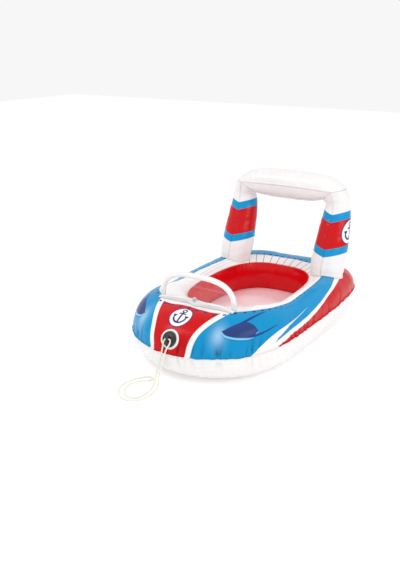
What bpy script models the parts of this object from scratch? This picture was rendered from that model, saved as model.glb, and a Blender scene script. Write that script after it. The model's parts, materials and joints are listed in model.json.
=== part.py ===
"""Child's inflatable ride-on boat: a welded film hull with a rear arch, windscreen and tow rope.

Metres, +Z up, the bow towards -Y and the port side towards +X. The origin is under the middle of
the hull, on the surface that the boat rests on. Every film piece is an open surface made solid.
"""
import math

import bmesh
import bpy
import numpy as np
from mathutils import Matrix, Vector
from mathutils.bvhtree import BVHTree

FILM = 0.001                # thickness that stands for the vinyl film
GAP = 0.0003                # clearance between neighbouring pieces
WELD = (FILM + GAP) / 2     # how far a welded film's middle lies from the weld's middle

# Hull: port half of the outer weld, from the bow to the stern (x, y)
OUTER_WELD = (
    (0.0, -0.510), (0.125, -0.479), (0.231, -0.388), (0.282, -0.245), (0.296, -0.082),
    (0.302, 0.102), (0.2985, 0.286), (0.2655, 0.439), (0.1865, 0.500), (0.0, 0.510),
)
WELD_HEIGHT = 0.104         # outer weld above the floor
WELD_WIDTH = 0.005          # flat flange of the outer weld
BOW_CREST = 0.217           # deck height over the bow
SIDE_CREST = 0.188          # deck height along the sides and the stern
CREST_FALL = (-0.30, -0.08)  # the deck falls from one to the other between these
OPENING_CENTRE = 0.041      # cockpit opening, a superellipse
OPENING_HALF_LENGTH = 0.278
OPENING_HALF_WIDTH = 0.1785
OPENING_POWER = 2.8
OPENING_HEIGHT = 0.171      # top of the red wall
FLOOR_HEIGHT = 0.058        # underside of the floor sheet
WALL_BULGE = 0.010          # the inflated wall leans this far into the cockpit
DECK_POWER = 2.15           # fullness of the tube above the outer weld
KEEL_POWER = 2.3            # fullness of the tube below it
KEEL_FLAT = math.radians(10)  # half the arc of the tube that is pressed flat on the floor
HALF_STATIONS = 30

# Rear arch
COLUMN_SPREAD = 0.202       # columns' distance from the middle
COLUMN_FOOT = (0.286, 0.060)   # centre along Y and radius where the column meets the deck
COLUMN_RINGS = (            # height, centre along Y, radius
    (0.215, 0.2950, 0.0648), (0.260, 0.3095, 0.0645), (0.310, 0.3270, 0.0615),
    (0.360, 0.3450, 0.0575), (0.410, 0.3585, 0.0505), (0.445, 0.3610, 0.0465),
)
FOOT_WIDTH = 0.007          # weld ring round a column's foot
FOOT_LIFT = 0.0012          # its clearance over the deck, whose surface is made of flats
SEAM_WIDTH = 0.0025         # flange of the arch's seams
ARCH_MIDDLE = 0.360         # crossbar's centre along Y
ARCH_HALF_DEPTH = 0.055
CORNER_X = 0.193            # where the seams meet at the corner
CORNER_HEIGHT = 0.495
CORNER_OUT = (0.033, 0.004)   # how far the corner weld swells outboard and up
CORNER_IN = (0.045, 0.039)    # and inboard and down
CROSSBAR_TOP = 0.550
CROSSBAR_BOTTOM = 0.440
CROSSBAR_FULLNESS = 4.5      # how late its top and bottom close in on the corners
PANEL_STEPS = 9

# Windscreen
SCREEN_HINGE = Vector((0.0, -0.3280, 0.2214))
SCREEN_LEAN = math.radians(0)
SCREEN_HALF_WIDTH = 0.146
SCREEN_HEIGHT = 0.096
SCREEN_POWER = 2.85
RIM_HALF_WIDTH = 0.0080     # half the rim tube, in the pane's plane
RIM_HALF_DEPTH = 0.0075     # and across it
RIM_FLAT = 0.0016           # the rim's ends are pinched to this
RIM_STEPS = 22
BAR_FRONT = -0.3565         # base bar, laid across the deck before the pane
BAR_BACK = -0.3302
BAR_HALF_LENGTH = 0.145
BAR_RISE = 0.0165
BAR_LIFT = 0.0018           # its clearance over the deck's flats

# Tow disc at the bow
LAY_GAP = 0.0010            # moulded pieces stand clear of the film below by this
DISC_HEIGHT = 0.153         # where its middle meets the bow
DISC_TILT = math.radians(22.5)
DISC_RADIUS = 0.026
LUG_WIDTH = 0.007
LUG_RADIUS = 0.0085
LUG_HOLE = 0.0042
LUG_RISE = 0.0105           # hole's distance from the disc's back
LUG_FOOT = 0.0028           # the lug's underside, inside the disc

# Tow rope: one loop of cord through the lug, its ends spliced inside it
ROPE_RADIUS = 0.0025
ROPE_POINTS = 80
ROPE_ROUTE = (
    (0.0002, -0.5035, 0.1544), (0.0050, -0.5036, 0.1543), (0.0105, -0.5058, 0.1512),
    (0.0112, -0.5112, 0.1420), (0.0020, -0.5160, 0.1240), (-0.0060, -0.5168, 0.1000),
    (-0.0125, -0.5180, 0.0750), (-0.0195, -0.5205, 0.0480), (-0.0230, -0.5245, 0.0220),
    (-0.0200, -0.5310, 0.0065), (-0.0140, -0.5430, 0.0030), (-0.0050, -0.5620, 0.0030),
    (0.0000, -0.5880, 0.0030), (-0.0010, -0.6150, 0.0030), (-0.0080, -0.6400, 0.0030),
    (-0.0250, -0.6590, 0.0030), (-0.0500, -0.6665, 0.0030), (-0.0760, -0.6590, 0.0030),
    (-0.0970, -0.6380, 0.0030), (-0.1110, -0.6100, 0.0030), (-0.1150, -0.5800, 0.0030),
    (-0.1080, -0.5520, 0.0030), (-0.0960, -0.5280, 0.0030), (-0.0800, -0.5090, 0.0030),
    (-0.0640, -0.5040, 0.0030), (-0.0545, -0.5140, 0.0030), (-0.0600, -0.5270, 0.0030),
    (-0.0760, -0.5390, 0.0030), (-0.0900, -0.5570, 0.0030), (-0.0965, -0.5800, 0.0030),
    (-0.0930, -0.6050, 0.0030), (-0.0820, -0.6270, 0.0030), (-0.0660, -0.6430, 0.0030),
    (-0.0470, -0.6490, 0.0030), (-0.0300, -0.6430, 0.0030), (-0.0190, -0.6270, 0.0030),
    (-0.0160, -0.6050, 0.0030), (-0.0190, -0.5800, 0.0030), (-0.0270, -0.5560, 0.0030),
    (-0.0330, -0.5380, 0.0045), (-0.0345, -0.5270, 0.0160), (-0.0310, -0.5210, 0.0420),
    (-0.0240, -0.5180, 0.0720), (-0.0180, -0.5165, 0.1000), (-0.0130, -0.5155, 0.1250),
    (-0.0122, -0.5110, 0.1420), (-0.0105, -0.5058, 0.1512), (-0.0050, -0.5036, 0.1543),
    (-0.0002, -0.5035, 0.1544),
)

# Inflation valves, all of one size
VALVE_BORE = 0.0058         # hole in the flange
STEM_OUTER = 0.0055
STEM_INNER = 0.0040
STEM_LENGTH = 0.0120
STEM_PROUD = 0.0022         # how far a closed valve's stem stands over the flange
PLUG_RADIUS = 0.0060
PLUG_GAP = 0.0010           # between the stem's mouth and the middle of the plug's rim
PLUG_REACH = 0.0042         # depth of the plug's spigot
STRAP_SIZE = (0.0052, 0.0040, 0.0010)
STRAP_SHIFT = -0.0022       # from the plug's hinge to the middle of its strap
STRAP_REACH = 0.0088        # plug hinge's distance from the valve's axis
FLAP_RADIUS = 0.0046

# name, point beside the film, outward normal, direction in which the strap leaves, flange radius
VALVES = (
    ("hull", (0.0, 0.549, 0.185), (0.0, 0.87, 0.5), (1.0, 0.0, 0.0), 0.0105),
    ("arch", (-0.40, 0.3005, 0.232), (-1.0, 0.0, 0.0), (0.0, 1.0, 0.0), 0.0105),
    ("screen", (0.0, -0.3530, 0.2620), (0.0, -0.25, 0.97), (1.0, 0.0, 0.0), 0.0080),
)

COLOURS = {                 # base colour with alpha, roughness, metallic
    "hull_print": ((0.02, 0.30, 0.64, 1.0), 0.28, 0.0),
    "white_film": ((0.88, 0.86, 0.86, 1.0), 0.30, 0.0),
    "red_film": ((0.66, 0.02, 0.03, 1.0), 0.25, 0.0),
    "pink_film": ((0.92, 0.66, 0.70, 1.0), 0.30, 0.0),
    "clear_film": ((0.90, 0.93, 0.95, 0.25), 0.10, 0.0),
    "milky_film": ((0.88, 0.87, 0.86, 0.80), 0.25, 0.0),
    "black_vinyl": ((0.02, 0.02, 0.02, 1.0), 0.45, 0.0),
    "clear_vinyl": ((0.86, 0.88, 0.90, 0.60), 0.25, 0.0),
    "rope": ((0.90, 0.90, 0.84, 1.0), 0.80, 0.0),
}


# ---------------------------------------------------------------- scene and objects

def clear_scene():
    for obj in list(bpy.data.objects):
        bpy.data.objects.remove(obj, do_unlink=True)


def new_collection(name):
    collection = bpy.data.collections.new(name)
    bpy.context.scene.collection.children.link(collection)
    return collection


def material(name):
    found = bpy.data.materials.get(name)
    if found:
        return found
    made = bpy.data.materials.new(name)
    made.use_nodes = True
    shader = made.node_tree.nodes["Principled BSDF"]
    colour, roughness, metallic = COLOURS[name]
    shader.inputs["Base Color"].default_value = colour
    shader.inputs["Alpha"].default_value = colour[3]
    shader.inputs["Roughness"].default_value = roughness
    shader.inputs["Metallic"].default_value = metallic
    return made


def add_object(name, data, finish, collection):
    obj = bpy.data.objects.new(name, data)
    collection.objects.link(obj)
    if finish:
        data.materials.append(material(finish))
    return obj


def move_origin(obj, point):
    """Put the object's origin on a point, such as its joint's axis, and keep its mesh in place."""
    obj.data.transform(Matrix.Translation(-Vector(point)))
    obj.location = point


def evaluated_mesh(obj):
    graph = bpy.context.evaluated_depsgraph_get()
    graph.update()
    return bpy.data.meshes.new_from_object(obj.evaluated_get(graph))


def surface_tree(obj):
    bm = bmesh.new()
    bm.from_mesh(evaluated_mesh(obj))
    bm.transform(obj.matrix_world)
    tree = BVHTree.FromBMesh(bm)
    bm.free()
    return tree


def drop_on(tree, point, direction):
    """Where a ray from the point first meets the surface."""
    hit = tree.ray_cast(Vector(point), Vector(direction).normalized())[0]
    if hit is None:
        raise ValueError("nothing lies under %s" % (tuple(point),))
    return hit


# ---------------------------------------------------------------- curves and sections

def closed_spline(points, count):
    """Evenly spaced points along a smooth closed curve through the given ones."""
    p = np.array(points, float)
    n = len(p)
    step = np.linalg.norm(np.roll(p, -1, axis=0) - p, axis=1) ** 0.5
    matrix = np.zeros((n, n))
    right = np.zeros(p.shape)
    for i in range(n):
        after = (i + 1) % n
        matrix[i, i - 1] += step[i - 1]
        matrix[i, i] += 2 * (step[i - 1] + step[i])
        matrix[i, after] += step[i]
        right[i] = 6 * ((p[after] - p[i]) / step[i] - (p[i] - p[i - 1]) / step[i - 1])
    bend = np.linalg.solve(matrix, right)
    dense = []
    for i in range(n):
        after = (i + 1) % n
        for t in np.linspace(0, step[i], 60, endpoint=False):
            r = step[i] - t
            dense.append(
                (bend[i] * r ** 3 + bend[after] * t ** 3) / (6 * step[i])
                + (p[i] / step[i] - bend[i] * step[i] / 6) * r
                + (p[after] / step[i] - bend[after] * step[i] / 6) * t)
    dense.append(dense[0])
    return even_points(dense, count + 1)[:-1]


def even_points(points, count, crowding=0.0):
    """Points spaced evenly along a polyline, or crowded at its ends and its middle."""
    p = np.array(points, float)
    run = np.concatenate([[0], np.cumsum(np.linalg.norm(np.diff(p, axis=0), axis=1))])
    share = np.linspace(0, 1, count)
    wanted = run[-1] * (share - crowding * np.sin(4 * math.pi * share) / (4 * math.pi))
    return np.stack([np.interp(wanted, run, p[:, k]) for k in range(p.shape[1])], axis=1)


def power(value, exponent):
    return math.copysign(abs(value) ** exponent, value)


def smooth_step(value, low, high):
    t = min(max((value - low) / (high - low), 0), 1)
    return t * t * (3 - 2 * t)


def outer_weld():
    """Port half of the outer weld, bow to stern."""
    mirrored = [(-x, y) for x, y in reversed(OUTER_WELD[1:-1])]
    ring = closed_spline(list(OUTER_WELD) + mirrored, 2 * HALF_STATIONS)
    half = ring[:HALF_STATIONS + 1].copy()
    half[0, 0] = 0
    half[-1, 0] = 0
    return half


def opening(grow=0.0):
    """Port half of the cockpit opening, bow to stern."""
    dense = []
    for angle in np.linspace(-math.pi / 2, math.pi / 2, 721):
        dense.append((
            (OPENING_HALF_WIDTH + grow) * power(math.cos(angle), 2 / OPENING_POWER),
            OPENING_CENTRE + (OPENING_HALF_LENGTH + grow) * power(math.sin(angle), 2 / OPENING_POWER)))
    half = even_points(dense, HALF_STATIONS + 1)
    half[0, 0] = 0
    half[-1, 0] = 0
    return half


def crest_height(y):
    return BOW_CREST + (SIDE_CREST - BOW_CREST) * smooth_step(y, *CREST_FALL)


def arch_section(width, rise, end, exponent, angles):
    """Distance across and height of a superellipse that ends at a given height."""
    reach = (1 - (end / rise) ** exponent) ** (1 / exponent)
    half = width / (1 + reach)
    last = math.pi - math.acos(reach ** (exponent / 2))
    section = []
    for angle in angles(last):
        across = half * (1 - power(math.cos(angle), 2 / exponent))
        section.append((across, rise * math.sin(angle) ** (2 / exponent)))
    return section


def deck_angles(last):
    return np.linspace(0, last, 9)


def keel_angles(last):
    flat = (math.pi / 2 - KEEL_FLAT, math.pi / 2 + KEEL_FLAT)
    rising = [flat[0] * k / 4 for k in range(4)]
    return rising + [flat[0], flat[1], (flat[1] + last) / 2, last]


# ---------------------------------------------------------------- surfaces

def loft(rings, closed=False):
    """A grid of quads through rings that have the same number of points."""
    bm = bmesh.new()
    rows = [[bm.verts.new(point) for point in ring] for ring in rings]
    pairs = list(zip(rows, rows[1:]))
    if closed:
        pairs.append((rows[-1], rows[0]))
    for low, high in pairs:
        for a in range(len(low) - 1):
            bm.faces.new((low[a], low[a + 1], high[a + 1], high[a]))
    mesh = bpy.data.meshes.new("film")
    bm.to_mesh(mesh)
    bm.free()
    mesh.shade_smooth()
    return mesh


def make_film(obj, mirror=False, thickness=FILM):
    if mirror:
        halves = obj.modifiers.new("Port and starboard", "MIRROR")
        halves.merge_threshold = 0.0001
    solid = obj.modifiers.new("Film", "SOLIDIFY")
    solid.thickness = thickness
    solid.offset = 0
    solid.use_even_offset = True


def hull_film(name, finish, section_at, collection):
    """A film whose section at each station runs from the outer weld towards the opening."""
    rings = []
    for weld, edge in zip(outer_weld(), opening()):
        inward = edge - weld
        width = float(np.linalg.norm(inward))
        inward = inward / width
        ring = []
        for across, height in section_at(width, weld, edge):
            x, y = weld + inward * across
            ring.append((x if abs(inward[0]) > 1e-6 else 0.0, y, height))
        rings.append(ring)
    obj = add_object(name, loft(rings), finish, collection)
    make_film(obj, mirror=True)
    return obj


def deck_section(width, weld, edge):
    base = WELD_HEIGHT + WELD
    crest = crest_height(float(weld[1] + edge[1]) / 2)
    tube = arch_section(width - WELD_WIDTH, crest - base, OPENING_HEIGHT - base, DECK_POWER, deck_angles)
    return [(0.0, base)] + [(WELD_WIDTH + across, base + rise) for across, rise in tube]


def keel_section(width, weld, edge):
    base = WELD_HEIGHT - WELD
    depth = (base - FILM / 2) / math.cos(KEEL_FLAT) ** (2 / KEEL_POWER)
    end = base - (FLOOR_HEIGHT - GAP - FILM)
    tube = arch_section(width - WELD_WIDTH, depth, end, KEEL_POWER, keel_angles)
    return [(0.0, base)] + [(WELD_WIDTH + across, base - drop) for across, drop in tube]


def wall_section(width, weld, edge):
    top = OPENING_HEIGHT - FILM - GAP
    bottom = FLOOR_HEIGHT + FILM + GAP
    section = []
    for t in np.linspace(0, 1, 4):
        across = width + WALL_BULGE * math.sin(math.pi * t)
        section.append((across, top + (bottom - top) * t))
    return section


def hull_films(collection):
    deck = hull_film("hull_top_skin", "hull_print", deck_section, collection)
    hull_film("hull_bottom_skin", "white_film", keel_section, collection)
    hull_film("cockpit_wall", "red_film", wall_section, collection)
    return deck


def floor_sheet(collection):
    """The flat sheet across the cockpit, its edge caught between the wall and the bottom skin."""
    half = opening(grow=0.003)
    ring = list(half) + [(-x, y) for x, y in half[-2:0:-1]]
    outline = flat_curve("floor_sheet", ring, FILM, "pink_film", collection)
    outline.location = (0, 0, FLOOR_HEIGHT + FILM / 2)


def flat_curve(name, ring, thickness, finish, collection):
    curve = bpy.data.curves.new(name, "CURVE")
    curve.dimensions = "2D"
    curve.fill_mode = "BOTH"
    curve.extrude = thickness / 2
    spline = curve.splines.new("POLY")
    spline.points.add(len(ring) - 1)
    for point, (x, y) in zip(spline.points, ring):
        point.co = (x, y, 0, 1)
    spline.use_cyclic_u = True
    return add_object(name, curve, finish, collection)


# ---------------------------------------------------------------- rear arch

def panel_angles():
    return np.linspace(0, math.pi, PANEL_STEPS + 1)


def column_ring(centre_y, radius, height, side, half, flange=SEAM_WIDTH):
    """One level of a column's panel: half is +1 outboard and -1 inboard."""
    shift = side * half * WELD
    ring = [(side * COLUMN_SPREAD + shift, centre_y - radius - flange, height)]
    for angle in panel_angles():
        x = side * (COLUMN_SPREAD + half * radius * math.sin(angle)) + shift
        ring.append((x, centre_y - radius * math.cos(angle), height))
    ring.append((side * COLUMN_SPREAD + shift, centre_y + radius + flange, height))
    return ring


def corner_ring(side, half, offset, shift, flange=SEAM_WIDTH):
    """The weld between a column and the crossbar, moved off its middle by the offset."""
    out, up = CORNER_OUT if half > 0 else CORNER_IN
    tilt = math.atan2(CORNER_OUT[1] + CORNER_IN[1], CORNER_OUT[0] + CORNER_IN[0])
    dx = side * (half * shift[0] - offset * math.sin(tilt))
    dz = half * shift[1] + offset * math.cos(tilt)
    ring = [(side * CORNER_X + dx, ARCH_MIDDLE - ARCH_HALF_DEPTH - flange, CORNER_HEIGHT + dz)]
    for angle in panel_angles():
        swell = half * math.sin(angle)
        ring.append((side * (CORNER_X + out * swell) + dx,
                     ARCH_MIDDLE - ARCH_HALF_DEPTH * math.cos(angle),
                     CORNER_HEIGHT + up * swell + dz))
    ring.append((side * CORNER_X + dx, ARCH_MIDDLE + ARCH_HALF_DEPTH + flange, CORNER_HEIGHT + dz))
    return ring


def blend_rings(first, second, share, swell=0.0, side=1):
    """A ring between two others, pushed outboard by the swell at its widest."""
    count = len(first)
    ring = []
    for k, (a, b) in enumerate(zip(first, second)):
        point = Vector(a).lerp(Vector(b), share)
        point.x += side * swell * math.sin(math.pi * k / (count - 1))
        ring.append(tuple(point))
    return ring


def column_panel(name, side, half, deck_tree, collection):
    foot_y, foot_radius = COLUMN_FOOT
    foot = []
    for x, y, height in column_ring(foot_y, foot_radius, 0.4, side, half, flange=0.0):
        deck = drop_on(deck_tree, (x, y, height), (0, 0, -1))
        foot.append((x, y, deck.z + 2 * FOOT_LIFT + FILM))
    rings = [foot]
    for height, centre_y, radius in COLUMN_RINGS:
        rings.append(column_ring(centre_y, radius, height, side, half))
    corner = corner_ring(side, half, -FILM, (WELD, 0))
    rings.append(blend_rings(rings[-1], corner, 0.5, 0.005 * half, side))
    rings.append(corner)
    obj = add_object(name, loft(rings), "white_film", collection)
    make_film(obj)
    return obj


def column_foot(name, side, deck_tree, collection):
    """The ring of film that welds a column to the deck."""
    foot_y, foot_radius = COLUMN_FOOT
    count = 40
    rings = []
    for k in range(count):
        angle = 2 * math.pi * k / count
        ring = []
        for radius in (foot_radius - FOOT_WIDTH / 2, foot_radius + FOOT_WIDTH / 2):
            x = side * COLUMN_SPREAD + radius * math.cos(angle)
            y = foot_y + radius * math.sin(angle)
            deck = drop_on(deck_tree, (x, y, 0.4), (0, 0, -1))
            ring.append((x, y, deck.z + FILM / 2 + FOOT_LIFT))
        rings.append(ring)
    obj = add_object(name, loft(rings, closed=True), "white_film", collection)
    make_film(obj)


def crossbar_panel(name, half, collection):
    """The crossbar's upper (+1) or lower (-1) panel, swept between the two corner welds."""
    rings = [corner_ring(1, half, FILM, (0, WELD))]
    sections = 12
    for k in range(1, sections):
        s = 1 - 2 * k / sections
        lift = half * WELD
        fall = abs(s) ** CROSSBAR_FULLNESS
        out, up = CORNER_OUT if half > 0 else CORNER_IN
        end_z = CORNER_HEIGHT + half * up
        middle_z = CROSSBAR_TOP if half > 0 else CROSSBAR_BOTTOM
        far_z = middle_z + (end_z - middle_z) * fall
        far_x = (CORNER_X + half * out) * s
        seam_z = CORNER_HEIGHT + 0.006 * (1 - s * s)
        depth = ARCH_HALF_DEPTH + 0.003 * (1 - s * s)
        ring = [(CORNER_X * s, ARCH_MIDDLE - depth - SEAM_WIDTH, seam_z + lift)]
        for angle in panel_angles():
            swell = power(math.sin(angle), 0.9)
            ring.append((CORNER_X * s + (far_x - CORNER_X * s) * swell,
                         ARCH_MIDDLE - depth * power(math.cos(angle), 0.9),
                         seam_z + (far_z - seam_z) * swell + lift))
        ring.append((CORNER_X * s, ARCH_MIDDLE + depth + SEAM_WIDTH, seam_z + lift))
        rings.append(ring)
    rings.append(corner_ring(-1, half, FILM, (0, WELD)))
    obj = add_object(name, loft(rings), "white_film", collection)
    make_film(obj)


def rear_arch(deck_tree, collection):
    panels = {}
    for side, word in ((1, "port"), (-1, "starboard")):
        for half, place in ((1, "outer"), (-1, "inner")):
            name = "%s_column_%s_panel" % (word, place)
            panels[name] = column_panel(name, side, half, deck_tree, collection)
        column_foot("%s_column_foot" % word, side, deck_tree, collection)
    crossbar_panel("crossbar_top_panel", 1, collection)
    crossbar_panel("crossbar_bottom_panel", -1, collection)
    return panels


# ---------------------------------------------------------------- windscreen

def screen_matrix():
    """From the pane's own plane (X across, Y up the pane) to the boat."""
    lean = Matrix.Rotation(math.pi / 2 - SCREEN_LEAN, 4, "X")
    return Matrix.Translation(SCREEN_HINGE) @ lean


def screen_path(inset, foot, count):
    """The pane's rounded outline, from the port foot over the top to the starboard foot."""
    dense = []
    for angle in np.linspace(0, math.pi, 361):
        dense.append(((SCREEN_HALF_WIDTH - inset) * power(math.cos(angle), 2 / SCREEN_POWER),
                      foot + (SCREEN_HEIGHT - inset - foot) * abs(math.sin(angle)) ** (2 / SCREEN_POWER)))
    return even_points(dense, count)


def rim_panel(name, face, collection):
    """The front (+1) or back (-1) half of the rim tube, welded along the pane's edge."""
    middle = screen_path(RIM_HALF_WIDTH, 0.001, RIM_STEPS + 1)
    rings = []
    for k, point in enumerate(middle):
        before = middle[max(k - 1, 0)]
        after = middle[min(k + 1, RIM_STEPS)]
        tangent = (after - before) / np.linalg.norm(after - before)
        outward = np.array((tangent[1], -tangent[0]))
        fullness = smooth_step(point[1], 0.0, 0.030)
        depth = RIM_FLAT + (RIM_HALF_DEPTH - RIM_FLAT) * fullness
        ring = []
        for across, rise in ((1.22, 0.0), (1.0, 0.0), (0.8, 0.6), (0.3, 0.96),
                             (-0.3, 0.96), (-0.8, 0.6), (-1.0, 0.0), (-1.12, 0.0)):
            x, y = point + outward * across * RIM_HALF_WIDTH
            shift = FILM if across < 0 else WELD
            ring.append((x, y, face * (rise * depth + shift + FILM * 0.2)))
        rings.append(ring)
    obj = add_object(name, loft(rings), "white_film", collection)
    obj.data.transform(screen_matrix())
    make_film(obj)
    move_origin(obj, SCREEN_HINGE)


def windscreen(collection):
    path = screen_path(2 * RIM_HALF_WIDTH - 0.0015, 0.001, 41)
    pane = flat_curve("windscreen_pane", path, FILM, "clear_film", collection)
    pane.matrix_world = screen_matrix()
    rim_panel("windscreen_rim_front", 1, collection)
    rim_panel("windscreen_rim_back", -1, collection)


def base_bar(deck_tree, collection):
    """The flat inflated bar that carries the pane, welded to the deck along both edges."""
    rings = []
    steps = 16
    section = ((0.0, 0.0), (0.12, 0.0), (0.15, 0.38), (0.26, 0.76), (0.45, 1.0), (0.62, 1.0),
               (0.79, 0.74), (0.88, 0.36), (0.90, 0.0), (1.0, 0.0))
    for k in range(steps + 1):
        x = BAR_HALF_LENGTH * (2 * k / steps - 1)
        fullness = 0.12 + 0.88 * (1 - abs(x / BAR_HALF_LENGTH) ** 4)
        ring = []
        for along, rise in section:
            y = BAR_FRONT + (BAR_BACK - BAR_FRONT) * along
            deck = drop_on(deck_tree, (x, y, 0.4), (0, 0, -1))
            ring.append((x, y, deck.z + FILM / 2 + BAR_LIFT + BAR_RISE * rise * fullness))
        rings.append(ring)
    obj = add_object("windscreen_base_bar", loft(rings), "milky_film", collection)
    make_film(obj)
    return obj


# ---------------------------------------------------------------- turned and moulded pieces

def turned(name, profile, finish, collection, steps=20):
    """A profile of (radius, height) points at +X, from the top down, turned about Z."""
    mesh = bpy.data.meshes.new(name)
    verts = [(radius, 0, height) for radius, height in profile]
    closed = profile[0][0] > 0
    edges = [(k, k + 1) for k in range(len(verts) - 1)]
    if closed:
        edges.append((len(verts) - 1, 0))
    mesh.from_pydata(verts, edges, [])
    obj = add_object(name, mesh, finish, collection)
    turn = obj.modifiers.new("Turn", "SCREW")
    turn.steps = steps
    turn.render_steps = steps
    turn.use_merge_vertices = True
    turn.merge_threshold = 0.0001
    turn.use_smooth_shade = False
    return obj


def apply_shape(obj):
    """Turn the object's modifiers into its mesh."""
    mesh = evaluated_mesh(obj)
    obj.modifiers.clear()
    obj.data = mesh
    return obj


def lay_on(obj, tree, frame, clearance):
    """Bend a flat-backed piece over the film below it, whose outward side is the frame's +Z."""
    normal = (frame.to_3x3() @ Vector((0, 0, 1))).normalized()
    inverse = frame.inverted()
    for vertex in obj.data.vertices:
        start = frame @ Vector((vertex.co.x, vertex.co.y, 0.06))
        vertex.co.z += (inverse @ drop_on(tree, start, -normal)).z + clearance
    obj.matrix_world = frame


def cut(obj, cutter, operation="DIFFERENCE"):
    boolean = obj.modifiers.new("Cut", "BOOLEAN")
    boolean.operation = operation
    boolean.object = cutter
    boolean.solver = "EXACT"


def cylinder_cutter(name, radius, depth, matrix, collection):
    mesh = bpy.data.meshes.new(name)
    bm = bmesh.new()
    bmesh.ops.create_cone(bm, cap_ends=True, segments=20, radius1=radius, radius2=radius, depth=depth)
    bm.to_mesh(mesh)
    bm.free()
    obj = add_object(name, mesh, None, collection)
    obj.matrix_world = matrix
    obj.hide_render = True
    obj.display_type = "WIRE"
    return obj


def facing(point, normal, sideways):
    """A frame at the point with +Z along the normal and +X sideways."""
    z = Vector(normal).normalized()
    x = (Vector(sideways) - z * Vector(sideways).dot(z)).normalized()
    y = z.cross(x)
    matrix = Matrix((x, y, z)).transposed().to_4x4()
    matrix.translation = point
    return matrix


def tow_disc(deck_tree, collection, cutters):
    normal = Vector((0, -math.cos(DISC_TILT), math.sin(DISC_TILT)))
    start = Vector((0, -0.560, DISC_HEIGHT + 0.060 * math.tan(DISC_TILT)))
    centre = drop_on(deck_tree, start, -normal)
    frame = facing(centre, normal, (1, 0, 0))
    r = DISC_RADIUS
    profile = ((0, 0.0052), (0.3 * r, 0.0051), (0.62 * r, 0.0043), (0.76 * r, 0.0030), (0.82 * r, 0.0036),
               (0.90 * r, 0.0036), (r, 0.0020), (r, 0.0), (0.75 * r, 0.0), (0.5 * r, 0.0),
               (0.25 * r, 0.0), (0, 0.0))
    disc = apply_shape(turned("tow_disc", profile, "black_vinyl", collection, steps=28))
    lay_on(disc, deck_tree, frame, LAY_GAP)
    face_outwards(disc)

    lug = bpy.data.meshes.new("lug")
    bm = bmesh.new()
    bmesh.ops.create_cone(bm, cap_ends=True, segments=24, radius1=LUG_RADIUS, radius2=LUG_RADIUS,
                          depth=LUG_WIDTH)
    bmesh.ops.rotate(bm, verts=bm.verts, matrix=Matrix.Rotation(math.pi / 2, 3, "Y"))
    for vertex in bm.verts:
        vertex.co.z += LUG_RISE
        if vertex.co.z < LUG_RISE:
            vertex.co.z = LUG_FOOT
    bmesh.ops.remove_doubles(bm, verts=bm.verts, dist=0.00005)
    bmesh.ops.dissolve_degenerate(bm, edges=bm.edges, dist=0.00005)
    bmesh.ops.recalc_face_normals(bm, faces=bm.faces)
    bm.to_mesh(lug)
    bm.free()
    lug_object = add_object("lug_shape", lug, None, cutters)
    lug_object.matrix_world = frame
    lug_object.hide_render = True
    lug_object.display_type = "WIRE"
    hole_frame = frame @ Matrix.Translation((0, 0, LUG_RISE)) @ Matrix.Rotation(math.pi / 2, 4, "Y")
    hole = cylinder_cutter("lug_hole", LUG_HOLE, 3 * LUG_WIDTH, hole_frame, cutters)
    cut(disc, lug_object, "UNION")
    cut(disc, hole)


def face_outwards(obj):
    """Turn every face outwards, whichever way the profile ran."""
    bm = bmesh.new()
    bm.from_mesh(obj.data)
    bmesh.ops.recalc_face_normals(bm, faces=bm.faces)
    bm.to_mesh(obj.data)
    bm.free()


def round_tube(name, points, radius, resolution, finish, collection):
    curve = bpy.data.curves.new(name, "CURVE")
    curve.dimensions = "3D"
    curve.bevel_depth = radius
    curve.bevel_resolution = resolution
    curve.use_fill_caps = True
    spline = curve.splines.new("POLY")
    spline.points.add(len(points) - 1)
    for point, place in zip(spline.points, points):
        point.co = (*place, 1)
    return add_object(name, curve, finish, collection)


def smooth_route(route, count):
    """Points on one smooth curve through the route's own points, closest at its tight bends."""
    p = [Vector(point) for point in route]
    p = [p[0] * 2 - p[1]] + p + [p[-1] * 2 - p[-2]]
    dense = []
    for a, b, c, d in zip(p, p[1:], p[2:], p[3:]):
        for t in np.linspace(0, 1, 24, endpoint=False):
            t = float(t)
            dense.append(0.5 * (2 * b + (c - a) * t + (2 * a - 5 * b + 4 * c - d) * t ** 2
                                + (3 * b - a - 3 * c + d) * t ** 3))
    dense.append(p[-2])
    return even_points(dense, count, crowding=0.55)


def tow_rope(collection):
    points = smooth_route(ROPE_ROUTE, ROPE_POINTS)
    round_tube("tow_rope", points, ROPE_RADIUS, 2, "rope", collection)


# ---------------------------------------------------------------- inflation valves

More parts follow.
